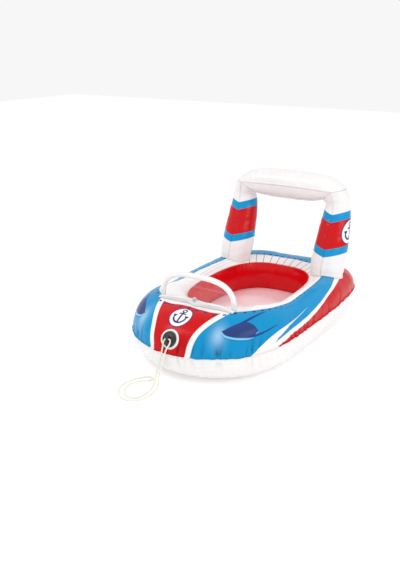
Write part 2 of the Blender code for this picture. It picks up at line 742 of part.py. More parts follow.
def valve(word, start, normal, sideways, flange, carrier, collection, cutters):
    """Flange, sliding stem, hinged plug and check flap, with a hole through the carrying film."""
    tree = surface_tree(carrier)
    surface = drop_on(tree, start, Vector(normal) * -1)
    frame = facing(surface, normal, sideways)
    hole = cylinder_cutter("%s_valve_hole" % word, VALVE_BORE + GAP, 0.03, frame, cutters)
    cut(carrier, hole)

    base = apply_shape(turned("%s_valve_base" % word, (
        (VALVE_BORE, 0.0014), (0.8 * flange, 0.0014), (flange, 0.0008), (flange, 0.0),
        (0.8 * flange, 0.0), (VALVE_BORE, 0.0)), "clear_vinyl", collection))
    lay_on(base, tree, frame, LAY_GAP)
    face_outwards(base)
    top = max(vertex.co.z for vertex in base.data.vertices)

    proud = top + STEM_PROUD
    stem = turned("%s_valve_stem" % word, (
        (STEM_INNER, proud), (STEM_OUTER, proud), (STEM_OUTER, proud - STEM_LENGTH),
        (STEM_INNER, proud - STEM_LENGTH)), "clear_vinyl", collection)
    apply_shape(stem)
    face_outwards(stem)
    stem.matrix_world = frame

    plug_frame = frame @ Matrix.Translation((STRAP_REACH, 0, proud + PLUG_GAP))
    plug = apply_shape(turned("%s_valve_plug" % word, (
        (0, 0.0012), (0.0052, 0.0012), (PLUG_RADIUS, 0.0006), (PLUG_RADIUS, -0.0006),
        (STEM_INNER - GAP, -0.0006), (0.0031, -PLUG_REACH), (0, -PLUG_REACH)), "clear_vinyl", collection))
    plug.data.transform(Matrix.Translation((-STRAP_REACH, 0, 0)))
    face_outwards(plug)
    strap = bpy.data.meshes.new("strap")
    bm = bmesh.new()
    bmesh.ops.create_cube(bm, size=1)
    bmesh.ops.scale(bm, vec=STRAP_SIZE, verts=bm.verts)
    bmesh.ops.translate(bm, vec=(STRAP_SHIFT, 0, 0), verts=bm.verts)
    bm.to_mesh(strap)
    bm.free()
    strap_object = add_object("%s_strap_shape" % word, strap, None, cutters)
    strap_object.matrix_world = plug_frame
    strap_object.hide_render = True
    strap_object.display_type = "WIRE"
    plug.matrix_world = plug_frame
    cut(plug, strap_object, "UNION")

    flap_frame = frame @ Matrix.Translation((FLAP_RADIUS, 0, proud - STEM_LENGTH - GAP))
    flap = turned("%s_valve_flap" % word, (
        (0, 0.0), (FLAP_RADIUS, 0.0), (FLAP_RADIUS, -0.0008), (0, -0.0008)), "clear_vinyl", collection)
    apply_shape(flap)
    face_outwards(flap)
    flap.data.transform(Matrix.Translation((-FLAP_RADIUS, 0, 0)))
    flap.matrix_world = flap_frame


def main():
    clear_scene()
    boat = new_collection("inflatable_boat")
    cutters = new_collection("cutters")
    deck = hull_films(boat)
    floor_sheet(boat)
    deck_tree = surface_tree(deck)
    panels = rear_arch(deck_tree, boat)
    windscreen(boat)
    bar = base_bar(deck_tree, boat)
    tow_disc(deck_tree, boat, cutters)
    tow_rope(boat)
    carriers = {"hull": deck, "arch": panels["starboard_column_outer_panel"], "screen": bar}
    for word, start, normal, sideways, flange in VALVES:
        valve(word, start, normal, sideways, flange, carriers[word], boat, cutters)


main()
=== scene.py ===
"""Child's inflatable ride-on boat: finished films, prints, windscreen, tow disc, rope and valves.

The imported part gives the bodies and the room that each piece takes. Every film is made again on the
same curves with its puckers and folds, and its print is painted by a node material.
"""
import json
import math

import bmesh
import bpy
import numpy as np
from bpy.props import FloatProperty, FloatVectorProperty, IntProperty, PointerProperty
from mathutils import Matrix, Vector
from mathutils.bvhtree import BVHTree


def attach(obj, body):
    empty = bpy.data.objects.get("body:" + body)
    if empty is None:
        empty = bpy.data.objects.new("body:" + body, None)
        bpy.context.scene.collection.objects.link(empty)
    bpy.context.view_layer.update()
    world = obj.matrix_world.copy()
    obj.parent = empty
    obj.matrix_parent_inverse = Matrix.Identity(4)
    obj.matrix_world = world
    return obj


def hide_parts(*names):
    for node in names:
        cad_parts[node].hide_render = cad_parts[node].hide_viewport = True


bl_info = {
    "name": "Inflatable Ride-on Boat",
    "version": (1, 0, 0),
    "blender": (4, 5, 0),
    "location": "3D View > Sidebar > Boat",
    "description": "Makes the films, prints and fittings of a child's inflatable boat",
    "category": "Object",
}

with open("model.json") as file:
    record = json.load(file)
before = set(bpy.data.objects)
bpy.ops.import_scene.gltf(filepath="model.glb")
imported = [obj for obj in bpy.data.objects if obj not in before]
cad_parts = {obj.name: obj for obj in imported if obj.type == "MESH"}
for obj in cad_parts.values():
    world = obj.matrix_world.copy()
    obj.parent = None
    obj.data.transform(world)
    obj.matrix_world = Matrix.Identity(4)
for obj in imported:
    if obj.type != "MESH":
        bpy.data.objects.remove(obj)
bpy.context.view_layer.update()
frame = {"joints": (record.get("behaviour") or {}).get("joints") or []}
JOINTS = {joint["name"]: joint for joint in frame["joints"]}

# ---------------------------------------------------------------- sizes shared with the part, in metres

FILM = 0.001                # thickness of a film and of a weld's two layers
GAP = 0.0003
WELD = FILM / 2             # a welded film's middle lies this far from the weld's middle

OUTER_WELD = (
    (0.0, -0.510), (0.125, -0.479), (0.231, -0.388), (0.282, -0.245), (0.296, -0.082),
    (0.302, 0.102), (0.2985, 0.286), (0.2655, 0.439), (0.1865, 0.500), (0.0, 0.510),
)
WELD_HEIGHT = 0.104
WELD_WIDTH = 0.005
BOW_CREST = 0.217
SIDE_CREST = 0.188
CREST_FALL = (-0.30, -0.08)
OPENING_CENTRE = 0.041
OPENING_HALF_LENGTH = 0.278
OPENING_HALF_WIDTH = 0.1785
OPENING_POWER = 2.8
OPENING_HEIGHT = 0.171
FLOOR_HEIGHT = 0.058
WALL_BULGE = 0.010
DECK_POWER = 2.15
KEEL_POWER = 2.3
KEEL_FLAT = math.radians(10)

COLUMN_SPREAD = 0.202
COLUMN_FOOT = (0.286, 0.060)
COLUMN_RINGS = (
    (0.215, 0.2950, 0.0648), (0.260, 0.3095, 0.0645), (0.310, 0.3270, 0.0615),
    (0.360, 0.3450, 0.0575), (0.410, 0.3585, 0.0505), (0.445, 0.3610, 0.0465),
)
FOOT_WIDTH = 0.007
FOOT_LIFT = 0.0012
SEAM_WIDTH = 0.0025
ARCH_MIDDLE = 0.360
ARCH_HALF_DEPTH = 0.055
CORNER_X = 0.193
CORNER_HEIGHT = 0.495
CORNER_OUT = (0.033, 0.004)
CORNER_IN = (0.045, 0.039)
CROSSBAR_TOP = 0.550
CROSSBAR_BOTTOM = 0.440
CROSSBAR_FULLNESS = 4.5

SCREEN_HINGE = Vector((0.0, -0.3280, 0.2214))
SCREEN_LEAN = math.radians(0)
SCREEN_HALF_WIDTH = 0.146
SCREEN_HEIGHT = 0.096
SCREEN_POWER = 2.85
RIM_HALF_WIDTH = 0.0080
RIM_HALF_DEPTH = 0.0075
RIM_FLAT = 0.0016
BAR_FRONT = -0.3565
BAR_BACK = -0.3302
BAR_HALF_LENGTH = 0.145
BAR_RISE = 0.0165
BAR_LIFT = 0.0018
BAR_WAIST = 0.0085           # away from its valve the bar is narrower by this

DISC_HEIGHT = 0.153
DISC_TILT = math.radians(22.5)
DISC_RADIUS = 0.026
LAY_GAP = 0.0010            # moulded pieces stand clear of the film below by this
LUG_WIDTH = 0.007
LUG_RADIUS = 0.0085
LUG_HOLE = 0.0042
LUG_RISE = 0.0105

ROPE_RADIUS = 0.0025
ROPE_ROUTE = (
    (0.0002, -0.5035, 0.1544), (0.0050, -0.5036, 0.1543), (0.0105, -0.5058, 0.1512),
    (0.0112, -0.5112, 0.1420), (0.0020, -0.5160, 0.1240), (-0.0060, -0.5168, 0.1000),
    (-0.0125, -0.5180, 0.0750), (-0.0195, -0.5205, 0.0480), (-0.0230, -0.5245, 0.0220),
    (-0.0200, -0.5310, 0.0065), (-0.0140, -0.5430, 0.0030), (-0.0050, -0.5620, 0.0030),
    (0.0000, -0.5880, 0.0030), (-0.0010, -0.6150, 0.0030), (-0.0080, -0.6400, 0.0030),
    (-0.0250, -0.6590, 0.0030), (-0.0500, -0.6665, 0.0030), (-0.0760, -0.6590, 0.0030),
    (-0.0970, -0.6380, 0.0030), (-0.1110, -0.6100, 0.0030), (-0.1150, -0.5800, 0.0030),
    (-0.1080, -0.5520, 0.0030), (-0.0960, -0.5280, 0.0030), (-0.0800, -0.5090, 0.0030),
    (-0.0640, -0.5040, 0.0030), (-0.0545, -0.5140, 0.0030), (-0.0600, -0.5270, 0.0030),
    (-0.0760, -0.5390, 0.0030), (-0.0900, -0.5570, 0.0030), (-0.0965, -0.5800, 0.0030),
    (-0.0930, -0.6050, 0.0030), (-0.0820, -0.6270, 0.0030), (-0.0660, -0.6430, 0.0030),
    (-0.0470, -0.6490, 0.0030), (-0.0300, -0.6430, 0.0030), (-0.0190, -0.6270, 0.0030),
    (-0.0160, -0.6050, 0.0030), (-0.0190, -0.5800, 0.0030), (-0.0270, -0.5560, 0.0030),
    (-0.0330, -0.5380, 0.0045), (-0.0345, -0.5270, 0.0160), (-0.0310, -0.5210, 0.0420),
    (-0.0240, -0.5180, 0.0720), (-0.0180, -0.5165, 0.1000), (-0.0130, -0.5155, 0.1250),
    (-0.0122, -0.5110, 0.1420), (-0.0105, -0.5058, 0.1512), (-0.0050, -0.5036, 0.1543),
    (-0.0002, -0.5035, 0.1544),
)

VALVE_BORE = 0.0058
STEM_OUTER = 0.0055
STEM_INNER = 0.0040
STEM_LENGTH = 0.0120
PLUG_RADIUS = 0.0060
PLUG_GAP = 0.0010
STRAP_REACH = 0.0088
FLAP_RADIUS = 0.0046

MOUTH_RISE = 0.0047         # a closed tube's mouth stands this high over its film

# name, flange radius, and the film that carries the valve; the frame's joints say where it is
VALVES = (
    ("hull", 0.0105, "deck_film"),
    ("arch", 0.0105, "starboard_column_outer_film"),
    ("screen", 0.0080, "base_bar_film"),
)


# ---------------------------------------------------------------- settings that a user would change

class HullSettings(bpy.types.PropertyGroup):
    stations: IntProperty(
        name="Stations", description="Sections round the hull, from the bow to the bow again",
        default=1080, min=120, max=1600)
    creases: IntProperty(
        name="Creases", description="Puckers along the outer weld", default=92, min=0, max=200)
    crease_depth: FloatProperty(
        name="Crease depth", description="Depth of a pucker at the outer weld",
        default=0.0062, unit="LENGTH", precision=4)
    blue: FloatVectorProperty(
        name="Blue", description="Main colour of the printed deck", subtype="COLOR",
        default=(0.0005, 0.275, 0.570))
    red: FloatVectorProperty(
        name="Red", description="Red of the print and of the cockpit wall", subtype="COLOR",
        default=(0.560, 0.0015, 0.005))
    white: FloatVectorProperty(
        name="White", description="Unprinted film", subtype="COLOR", default=(0.86, 0.835, 0.83))
    navy: FloatVectorProperty(
        name="Navy", description="Lines and stitches of the print", subtype="COLOR",
        default=(0.012, 0.022, 0.110))
    floor: FloatVectorProperty(
        name="Floor", description="Floor sheet of the cockpit", subtype="COLOR",
        default=(0.97, 0.84, 0.86))


class ArchSettings(bpy.types.PropertyGroup):
    levels: IntProperty(
        name="Levels", description="Rings up a column", default=190, min=30, max=300)
    fold_depth: FloatProperty(
        name="Fold depth", description="Depth of the fine cross folds", default=0.0008,
        unit="LENGTH", precision=4)


class WindscreenSettings(bpy.types.PropertyGroup):
    haze: FloatProperty(
        name="Haze", description="How milky the clear pane is", default=0.05, min=0.0, max=1.0,
        subtype="FACTOR")
    sag: FloatProperty(
        name="Sag", description="How far the pane bows aft in its rim", default=0.0018,
        unit="LENGTH", precision=4)


class FittingSettings(bpy.types.PropertyGroup):
    rope: FloatVectorProperty(
        name="Rope", description="Colour of the tow rope", subtype="COLOR",
        default=(0.86, 0.85, 0.74))
    disc: FloatVectorProperty(
        name="Tow disc", description="Colour of the moulded disc", subtype="COLOR",
        default=(0.012, 0.010, 0.009))


class StageSettings(bpy.types.PropertyGroup):
    daylight: FloatProperty(
        name="Daylight", description="Strength of the even light all round", default=0.93, min=0.0)
    key: FloatProperty(
        name="Key light", description="Power of the large soft lamp", default=24.0, min=0.0,
        unit="POWER")


# ---------------------------------------------------------------- curves and sections

def closed_spline(points, count):
    """Evenly spaced points along a smooth closed curve through the given ones."""
    p = np.array(points, float)
    n = len(p)
    step = np.linalg.norm(np.roll(p, -1, axis=0) - p, axis=1) ** 0.5
    matrix = np.zeros((n, n))
    right = np.zeros(p.shape)
    for i in range(n):
        after = (i + 1) % n
        matrix[i, i - 1] += step[i - 1]
        matrix[i, i] += 2 * (step[i - 1] + step[i])
        matrix[i, after] += step[i]
        right[i] = 6 * ((p[after] - p[i]) / step[i] - (p[i] - p[i - 1]) / step[i - 1])
    bend = np.linalg.solve(matrix, right)
    dense = []
    for i in range(n):
        after = (i + 1) % n
        for t in np.linspace(0, step[i], 120, endpoint=False):
            r = step[i] - t
            dense.append(
                (bend[i] * r ** 3 + bend[after] * t ** 3) / (6 * step[i])
                + (p[i] / step[i] - bend[i] * step[i] / 6) * r
                + (p[after] / step[i] - bend[after] * step[i] / 6) * t)
    dense.append(dense[0])
    return even_points(dense, count + 1)[:-1]


def even_points(points, count, crowding=0.0):
    """Points spaced evenly along a polyline, or crowded at its ends and its middle."""
    p = np.array(points, float)
    run = np.concatenate([[0], np.cumsum(np.linalg.norm(np.diff(p, axis=0), axis=1))])
    share = np.linspace(0, 1, count)
    wanted = run[-1] * (share - crowding * np.sin(4 * math.pi * share) / (4 * math.pi))
    return np.stack([np.interp(wanted, run, p[:, k]) for k in range(p.shape[1])], axis=1)


def power(value, exponent):
    """A signed power, of a number or of a whole array."""
    return np.sign(value) * np.abs(value) ** exponent


def smooth_step(value, low, high):
    t = np.clip((value - low) / (high - low), 0, 1)
    return t * t * (3 - 2 * t)


def outer_weld(half_stations):
    """Port half of the outer weld, bow to stern."""
    mirrored = [(-x, y) for x, y in reversed(OUTER_WELD[1:-1])]
    ring = closed_spline(list(OUTER_WELD) + mirrored, 2 * half_stations)
    half = ring[:half_stations + 1].copy()
    half[0, 0] = 0
    half[-1, 0] = 0
    return half


def opening(half_stations, grow=0.0):
    """Port half of the cockpit opening, bow to stern."""
    angle = np.linspace(-math.pi / 2, math.pi / 2, 2881)
    dense = np.stack([
        (OPENING_HALF_WIDTH + grow) * power(np.cos(angle), 2 / OPENING_POWER),
        OPENING_CENTRE + (OPENING_HALF_LENGTH + grow) * power(np.sin(angle), 2 / OPENING_POWER)], axis=1)
    half = even_points(dense, half_stations + 1)
    half[0, 0] = 0
    half[-1, 0] = 0
    return half


def crest_height(y):
    return BOW_CREST + (SIDE_CREST - BOW_CREST) * float(smooth_step(y, *CREST_FALL))


def tube_section(width, rise, end, exponent, shares, flat=0.0):
    """Distance across and height of a superellipse that ends at a given height.

    A part of its top, as long as twice the flat angle, is drawn as one straight line.
    """
    reach = (1 - (end / rise) ** exponent) ** (1 / exponent)
    half = width / (1 + reach)
    last = math.pi - math.acos(reach ** (exponent / 2))
    angle = shares * last
    across = half * (1 - power(np.cos(angle), 2 / exponent))
    height = rise * np.sin(angle) ** (2 / exponent)
    if flat:
        height = np.minimum(height, rise * math.cos(flat) ** (2 / exponent))
    return across, height


def deck_section(width, weld, edge, shares):
    base = WELD_HEIGHT + WELD
    crest = crest_height(float(weld[1] + edge[1]) / 2)
    across, rise = tube_section(width - WELD_WIDTH, crest - base, OPENING_HEIGHT - base, DECK_POWER, shares)
    return WELD_WIDTH + across, base + rise


def keel_section(width, weld, edge, shares):
    base = WELD_HEIGHT - WELD
    depth = (base - FILM / 2) / math.cos(KEEL_FLAT) ** (2 / KEEL_POWER)
    end = base - (FLOOR_HEIGHT - GAP - FILM)
    across, drop = tube_section(width - WELD_WIDTH, depth, end, KEEL_POWER, shares, KEEL_FLAT)
    return WELD_WIDTH + across, base - drop


def wall_section(width, weld, edge, shares):
    top = OPENING_HEIGHT - FILM - GAP
    bottom = FLOOR_HEIGHT + FILM + GAP
    return width + WALL_BULGE * np.sin(math.pi * shares), top + (bottom - top) * shares


def hull_grid(section_at, stations, shares, flange):
    """Points of a hull film, station by station round from the bow by the port side.

    A negative share lies on the outer weld's flat flange, one being its whole width.
    """
    half = stations // 2
    tube = np.maximum(shares, 0)
    rows = []
    for weld, edge in zip(outer_weld(half), opening(half)):
        inward = edge - weld
        width = float(np.linalg.norm(inward))
        inward = inward / width
        across, height = section_at(width, weld, edge, tube)
        if flange:
            across = across + WELD_WIDTH * np.minimum(shares, 0)
        x = weld[0] + inward[0] * across
        y = weld[1] + inward[1] * across
        rows.append(np.stack([x if abs(inward[0]) > 1e-6 else 0 * x, y, height], axis=1))
    port = np.array(rows)
    starboard = port[-2:0:-1] * np.array((-1, 1, 1))
    return np.concatenate([port, starboard])


# ---------------------------------------------------------------- films

def grid_normals(points, closed):
    """Unit normals of a grid of points, on the side to which (rows x columns) turns."""
    if closed:
        along = np.roll(points, -1, axis=0) - np.roll(points, 1, axis=0)
    else:
        along = np.gradient(points, axis=0)
    normal = np.cross(along, np.gradient(points, axis=1))
    length = np.linalg.norm(normal, axis=2, keepdims=True)
    return normal / np.maximum(length, 1e-12)


def run_lengths(points, axis):
    """How far each point of a grid lies along its row or column."""
    steps = np.linalg.norm(np.diff(points, axis=axis), axis=2)
    start = np.zeros_like(np.take(steps, [0], axis=axis))
    return np.concatenate([start, np.cumsum(steps, axis=axis)], axis=axis)


def film(name, points, finish, closed=False, fields=None, thickness=FILM, offset=0.0, flip=False):
    """A smooth film over a grid of points, with a number at each point for every named field."""
    rows, columns = points.shape[:2]
    faces = []
    for a in range(rows if closed else rows - 1):
        b = (a + 1) % rows
        for k in range(columns - 1):
            face = (a * columns + k, b * columns + k, b * columns + k + 1, a * columns + k + 1)
            faces.append(face[::-1] if flip else face)
    mesh = bpy.data.meshes.new(name)
    mesh.from_pydata(points.reshape(-1, 3).tolist(), [], faces)
    for field, values in (fields or {}).items():
        attribute = mesh.attributes.new(field, "FLOAT", "POINT")
        attribute.data.foreach_set("value", np.ascontiguousarray(values, np.float32).ravel())
    mesh.shade_smooth()
    obj = bpy.data.objects.new(name, mesh)
    bpy.context.scene.collection.objects.link(obj)
    mesh.materials.append(finish)
    if thickness:
        solid = obj.modifiers.new("Film", "SOLIDIFY")
        solid.thickness = thickness
        solid.offset = offset
        solid.use_even_offset = False
    return obj


def place(obj, body, slot, *nodes):
    """Put a finished piece on its body, in the place of the part's own nodes."""
    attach(obj, body)
    if nodes:
        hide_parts(*nodes)
    return obj


def tree_of(obj):
    """A surface that rays can be dropped on."""
    graph = bpy.context.evaluated_depsgraph_get()
    graph.update()
    bm = bmesh.new()
    bm.from_object(obj, graph)
    bm.transform(obj.matrix_world)
    tree = BVHTree.FromBMesh(bm)
    bm.free()
    return tree


def drop_on(tree, point, direction):
    hit = tree.ray_cast(Vector(point), Vector(direction).normalized())[0]
    if hit is None:
        raise ValueError("nothing lies under %s" % (tuple(point),))
    return hit


class Puckers:
    """Creases that a curved weld draws into a film, and the slow wave of the weld itself."""

    def __init__(self, seed, length, count, strength, width=0.0050, reach=0.034):
        chance = np.random.default_rng(seed)
        slots = np.arange(count) + chance.uniform(-0.42, 0.42, count)
        self.length = length
        self.at = slots * length / max(count, 1)
        self.width = width * chance.uniform(0.6, 1.35, count)
        self.reach = reach * chance.uniform(0.4, 1.5, count)
        self.depth = strength * chance.uniform(0.25, 1.0, count)
        self.lean = chance.uniform(-0.25, 0.25, count)

    def depth_at(self, along, away, tightness=1.0):
        """How deep the creases are, at places along the weld and away from it."""
        total = np.zeros(np.broadcast(along, away).shape)
        for at, width, reach, depth, lean in zip(self.at, self.width, self.reach, self.depth, self.lean):
            off = along - at + lean * away
            off = (off + self.length / 2) % self.length - self.length / 2
            spread = width * (1 + 1.6 * away / reach)
            total += depth * np.exp(-(off / spread) ** 2) * np.exp(-(away / reach) ** 2)
        return total * tightness


def soft_noise(along, across, seed, period, count=14, roughness=0.6):
    """A smooth, repeatable unevenness between about -1 and 1."""
    chance = np.random.default_rng(seed)
    total = np.zeros(np.broadcast(along, across).shape)
    weight = 0
    for _ in range(count):
        size = period * (0.35 + 1.3 * chance.random())
        turn = chance.uniform(0, 2 * math.pi)
        phase = chance.uniform(0, 2 * math.pi)
        share = size ** roughness
        ahead = along * math.cos(turn) + across * math.sin(turn)
        total += share * np.sin(2 * math.pi * ahead / size + phase)
        weight += share ** 2
    return total / math.sqrt(weight)


# ---------------------------------------------------------------- materials

class Signal:
    """A number that varies over a surface. Sums and products of it add Math nodes."""

    def __init__(self, tree, socket):
        self.tree = tree
        self.socket = socket

    def maths(self, operation, *values, clamp=False):
        node = self.tree.nodes.new("ShaderNodeMath")
        node.operation = operation
        node.use_clamp = clamp
        for slot, value in zip(node.inputs, values):
            feed(self.tree, slot, value)
        return Signal(self.tree, node.outputs[0])

    def __add__(self, other):
        return self.maths("ADD", self, other)

    def __sub__(self, other):
        return self.maths("SUBTRACT", self, other)

    def __rsub__(self, other):
        return self.maths("SUBTRACT", other, self)

    def __mul__(self, other):
        return self.maths("MULTIPLY", self, other)

    def __truediv__(self, other):
        return self.maths("DIVIDE", self, other)

    def __pow__(self, other):
        return self.maths("POWER", self, other)

    def __neg__(self):
        return self.maths("MULTIPLY", self, -1.0)

    def __abs__(self):
        return self.maths("ABSOLUTE", self)

    __radd__ = __add__
    __rmul__ = __mul__

    def sine(self):
        return self.maths("SINE", self)

    def least(self, other):
        return self.maths("MINIMUM", self, other)

    def most(self, other):
        return self.maths("MAXIMUM", self, other)

    def wrapped(self, period):
        """The value taken round a circle of that period, centred on zero."""
        return self.maths("WRAP", self, period / 2, -period / 2)

    def over(self, edge, softness):
        """0 below the edge and 1 above it, with a soft step as wide as twice the softness."""
        ramp = (self - edge) / (2 * softness)
        return ramp.maths("ADD", ramp, 0.5, clamp=True)

    def under(self, edge, softness):
        return (edge - self).over(0.0, softness)


MIX_COLOUR_SLOTS = (0, 6, 7)   # a Mix node's factor and its two colours


def feed(tree, slot, value):
    """Link a signal or a socket to an input, or set a plain number, colour or vector on it."""
    if isinstance(value, Signal):
        value = value.socket
    if isinstance(value, bpy.types.NodeSocket):
        tree.links.new(value, slot)
    elif hasattr(value, "__len__") and len(value) == 3 and slot.type == "RGBA":
        slot.default_value = (*value, 1.0)
    else:
        slot.default_value = value


class Finish:
    """One material, built on its Principled BSDF."""

    def __init__(self, name, **constants):
        self.material = bpy.data.materials.new(name)
        self.material.use_nodes = True
        self.tree = self.material.node_tree
        self.shader = self.tree.nodes["Principled BSDF"]
        self.set(**constants)

    def set(self, **values):
        """Give inputs of the shader, with underscores for the spaces in their names."""
        for name, value in values.items():
            feed(self.tree, self.shader.inputs[socket_name(name)], value)

    def node(self, kind, settings=None, output=0, **inputs):
        """The output of a new node, whose settings are set before its inputs."""
        node = self.tree.nodes.new(kind)
        for name, value in (settings or {}).items():
            if name == "curve":
                draw_curve(node, value)
            else:
                setattr(node, name, value)
        for name, value in inputs.items():
            key = int(name[1:]) if name[0] == "i" and name[1:].isdigit() else socket_name(name)
            feed(self.tree, node.inputs[key], value)
        return node.outputs[output]

    def signal(self, *args, **inputs):
        return Signal(self.tree, self.node(*args, **inputs))

    def field(self, name):
        """A number stored on the piece's points."""
        return self.signal("ShaderNodeAttribute", {"attribute_name": name}, output=2)

    def place(self):
        """Position on the object, as three signals."""
        where = self.node("ShaderNodeTexCoord", output=3)
        parts = self.tree.nodes.new("ShaderNodeSeparateXYZ")
        self.tree.links.new(where, parts.inputs[0])
        return [Signal(self.tree, part) for part in parts.outputs]

    def noise(self, scale, detail=2.0, roughness=0.5, stretch=None):
        vector = self.node("ShaderNodeTexCoord", output=3)
        if stretch:
            vector = self.node("ShaderNodeVectorMath", {"operation": "MULTIPLY"}, i0=vector, i1=stretch)
        return self.signal("ShaderNodeTexNoise", vector=vector, scale=scale, detail=detail,
                           roughness=roughness)

    def profile(self, value, points):
        """A smooth curve through points (x, y), where x and y run from 0 to 1."""
        node = self.tree.nodes.new("ShaderNodeFloatCurve")
        draw_curve(node, points)
        feed(self.tree, node.inputs["Value"], value)
        return Signal(self.tree, node.outputs[0])

    def paint(self, under, share, over):
        """The colour of one ink over another, where the share is the ink's cover."""
        node = self.tree.nodes.new("ShaderNodeMix")
        node.data_type = "RGBA"
        for slot, value in zip(MIX_COLOUR_SLOTS, (share, under, over)):
            feed(self.tree, node.inputs[slot], value)
        return node.outputs[2]

    def shaded(self, colour, share):
        """The same colour, darker by one share all over."""
        shares = (share, share, share)
        return self.node("ShaderNodeVectorMath", {"operation": "MULTIPLY"}, i0=colour, i1=shares)

    def bump(self, height, distance, strength=1.0):
        self.set(normal=self.node("ShaderNodeBump", height=height, distance=distance, strength=strength))


def draw_curve(node, points):
    curve = node.mapping.curves[0]
    while len(curve.points) < len(points):
        curve.points.new(0.5, 0.5)
    for knot, (x, y) in zip(curve.points, points):
        knot.location = (x, y)
    node.mapping.update()


def socket_name(word):
    """specular_ior_level is the socket "Specular IOR Level"."""
    return word.replace("_", " ").title().replace("Ior", "IOR")


# ---------------------------------------------------------------- finishes

def vinyl(name, colour, **constants):
    """Plain glossy film: slightly uneven gloss, and the fine orange peel of rolled vinyl."""
    look = {"roughness": 0.24, "specular_ior_level": 0.45, "coat_weight": 0.15, "coat_roughness": 0.08}
    look.update(constants)
    finish = Finish(name, **look)
    tone = finish.noise(9.0, detail=3.0)
    shade = tuple(0.93 * c for c in colour)
    finish.set(base_color=finish.paint(shade, tone.over(0.5, 0.25), colour))
    finish.set(roughness=0.20 + 0.12 * finish.noise(34.0, detail=2.0))
    finish.bump(finish.noise(520.0, detail=1.0), 0.00012, 0.35)
    return finish


# ---------------------------------------------------------------- stage

CAMERA_PLACE = (1.1532, -2.1485, 1.0559)
CAMERA_TARGET = (-0.1089, -0.1402, 0.2031)
CAMERA_LENS = 44.14


def look_at(obj, place, target):
    obj.location = place
    turn = (Vector(target) - Vector(place)).to_track_quat("-Z", "Y")
    obj.rotation_euler = turn.to_euler()


def add_camera():
    camera = bpy.data.objects.new("camera", bpy.data.cameras.new("camera"))
    bpy.context.scene.collection.objects.link(camera)
    camera.data.sensor_width = 36.0
    camera.data.lens = CAMERA_LENS
    look_at(camera, CAMERA_PLACE, CAMERA_TARGET)
    bpy.context.scene.camera = camera


def add_lamp(name, place, target, size, power, colour=(1, 1, 1)):
    lamp = bpy.data.lights.new(name, "AREA")
    lamp.shape = "RECTANGLE"
    lamp.size = size
    lamp.size_y = size * 0.7
    lamp.energy = power
    lamp.color = colour
    obj = bpy.data.objects.new(name, lamp)
    bpy.context.scene.collection.objects.link(obj)
    look_at(obj, place, target)


def add_floor():
    mesh = bpy.data.meshes.new("floor")
    half = 8.0
    corners = [(-half, -half, 0), (half, -half, 0), (half, half, 0), (-half, half, 0)]
    mesh.from_pydata(corners, [], [(0, 1, 2, 3)])
    floor = bpy.data.objects.new("floor", mesh)
    floor.location.z = -0.0006
    bpy.context.scene.collection.objects.link(floor)
    finish = Finish("pale_floor", roughness=0.9, specular_ior_level=0.1, emission_strength=0.30)
    tone = finish.noise(1.5, detail=1.0)
    finish.set(base_color=finish.paint((0.73, 0.73, 0.73), tone, (0.75, 0.75, 0.75)))
    finish.set(emission_color=(1, 1, 1))
    mesh.materials.append(finish.material)


def set_daylight(strength):
    """Even white light all round, shown with plain, true colours."""
    bpy.context.scene.view_settings.view_transform = "Standard"
    world = bpy.data.worlds.new("daylight")
    world.use_nodes = True
    background = world.node_tree.nodes["Background"]
    background.inputs["Color"].default_value = (1, 1, 1, 1)
    background.inputs["Strength"].default_value = strength
    bpy.context.scene.world = world


# ---------------------------------------------------------------- hull

DECK_SHARES = np.concatenate([(-1.0, -0.5), np.linspace(0, 1, 44)])
HULL_SEED = 11


def weld_length(stations):
    ring = hull_grid(deck_section, stations, np.array((-1.0, -0.5)), True)[:, 0]
    steps = np.linalg.norm(np.roll(ring, -1, axis=0) - ring, axis=1)
    return float(steps.sum()), np.concatenate([[0], np.cumsum(steps)[:-1]])


def hull_skin(section_at, settings, side):
    """A skin of the hull with its puckers; side is +1 for the deck and -1 for the keel."""
    stations = settings.stations
    points = hull_grid(section_at, stations, DECK_SHARES, True)
    normals = grid_normals(points, True) * side
    length, along = weld_length(stations)
    along = along[:, None]
    away = run_lengths(points[:, 2:], 1)
    away = np.concatenate([np.zeros((stations, 2)), away], axis=1)
    creases = Puckers(HULL_SEED, length, settings.creases, settings.crease_depth, width=0.0038)
    nips = Puckers(HULL_SEED + 9, length, 3 * settings.creases, settings.crease_depth * 0.55, width=0.0030,
                   reach=0.009)
    bow = 0.45 + 0.75 * smooth_step(-points[:, :1, 1], 0.10, 0.42)
    start = smooth_step(DECK_SHARES, 0.0, 0.05)[None, :]
    depth = (creases.depth_at(along, away) + nips.depth_at(along, away)) * bow * start
    folds = soft_noise(along + 0 * away, away, HULL_SEED + 1, 0.16) * 0.0009
    folds = folds * smooth_step(DECK_SHARES, 0.02, 0.25) * (1 - smooth_step(DECK_SHARES, 0.80, 0.98))
    pull = (creases.depth_at(along, 0 * away) + nips.depth_at(along, 0 * away)) * 0.6 * np.exp(-away / 0.010)
    wave = soft_noise(along, 0 * along, HULL_SEED + 2, 0.05) * 0.0011 * np.exp(-away / 0.018)
    inward = points[:, -1:] - points[:, :1]
    inward[:, :, 2] = 0
    inward = inward / np.linalg.norm(inward, axis=2, keepdims=True)
    points = points + normals * (folds - depth)[:, :, None] + inward * pull[:, :, None]
    points[:, :, 2] = np.maximum(points[:, :, 2] + wave, FILM / 2)
    around = 1 - np.abs(np.linspace(-1, 1, stations, endpoint=False))
    # Painted shade: thin crease lines at the outer weld, stored on the points to darken the film's colour
    # there.
    lines = Puckers(HULL_SEED, length, settings.creases, 1.25, width=0.0024)
    crease = np.clip(lines.depth_at(along, away) * bow * start, 0, 1)
    return points, {
        "crease": crease,
        "around": np.broadcast_to(around[:, None], away.shape),
        "across": np.broadcast_to(DECK_SHARES[None, :], away.shape),
        "away": away,
    }


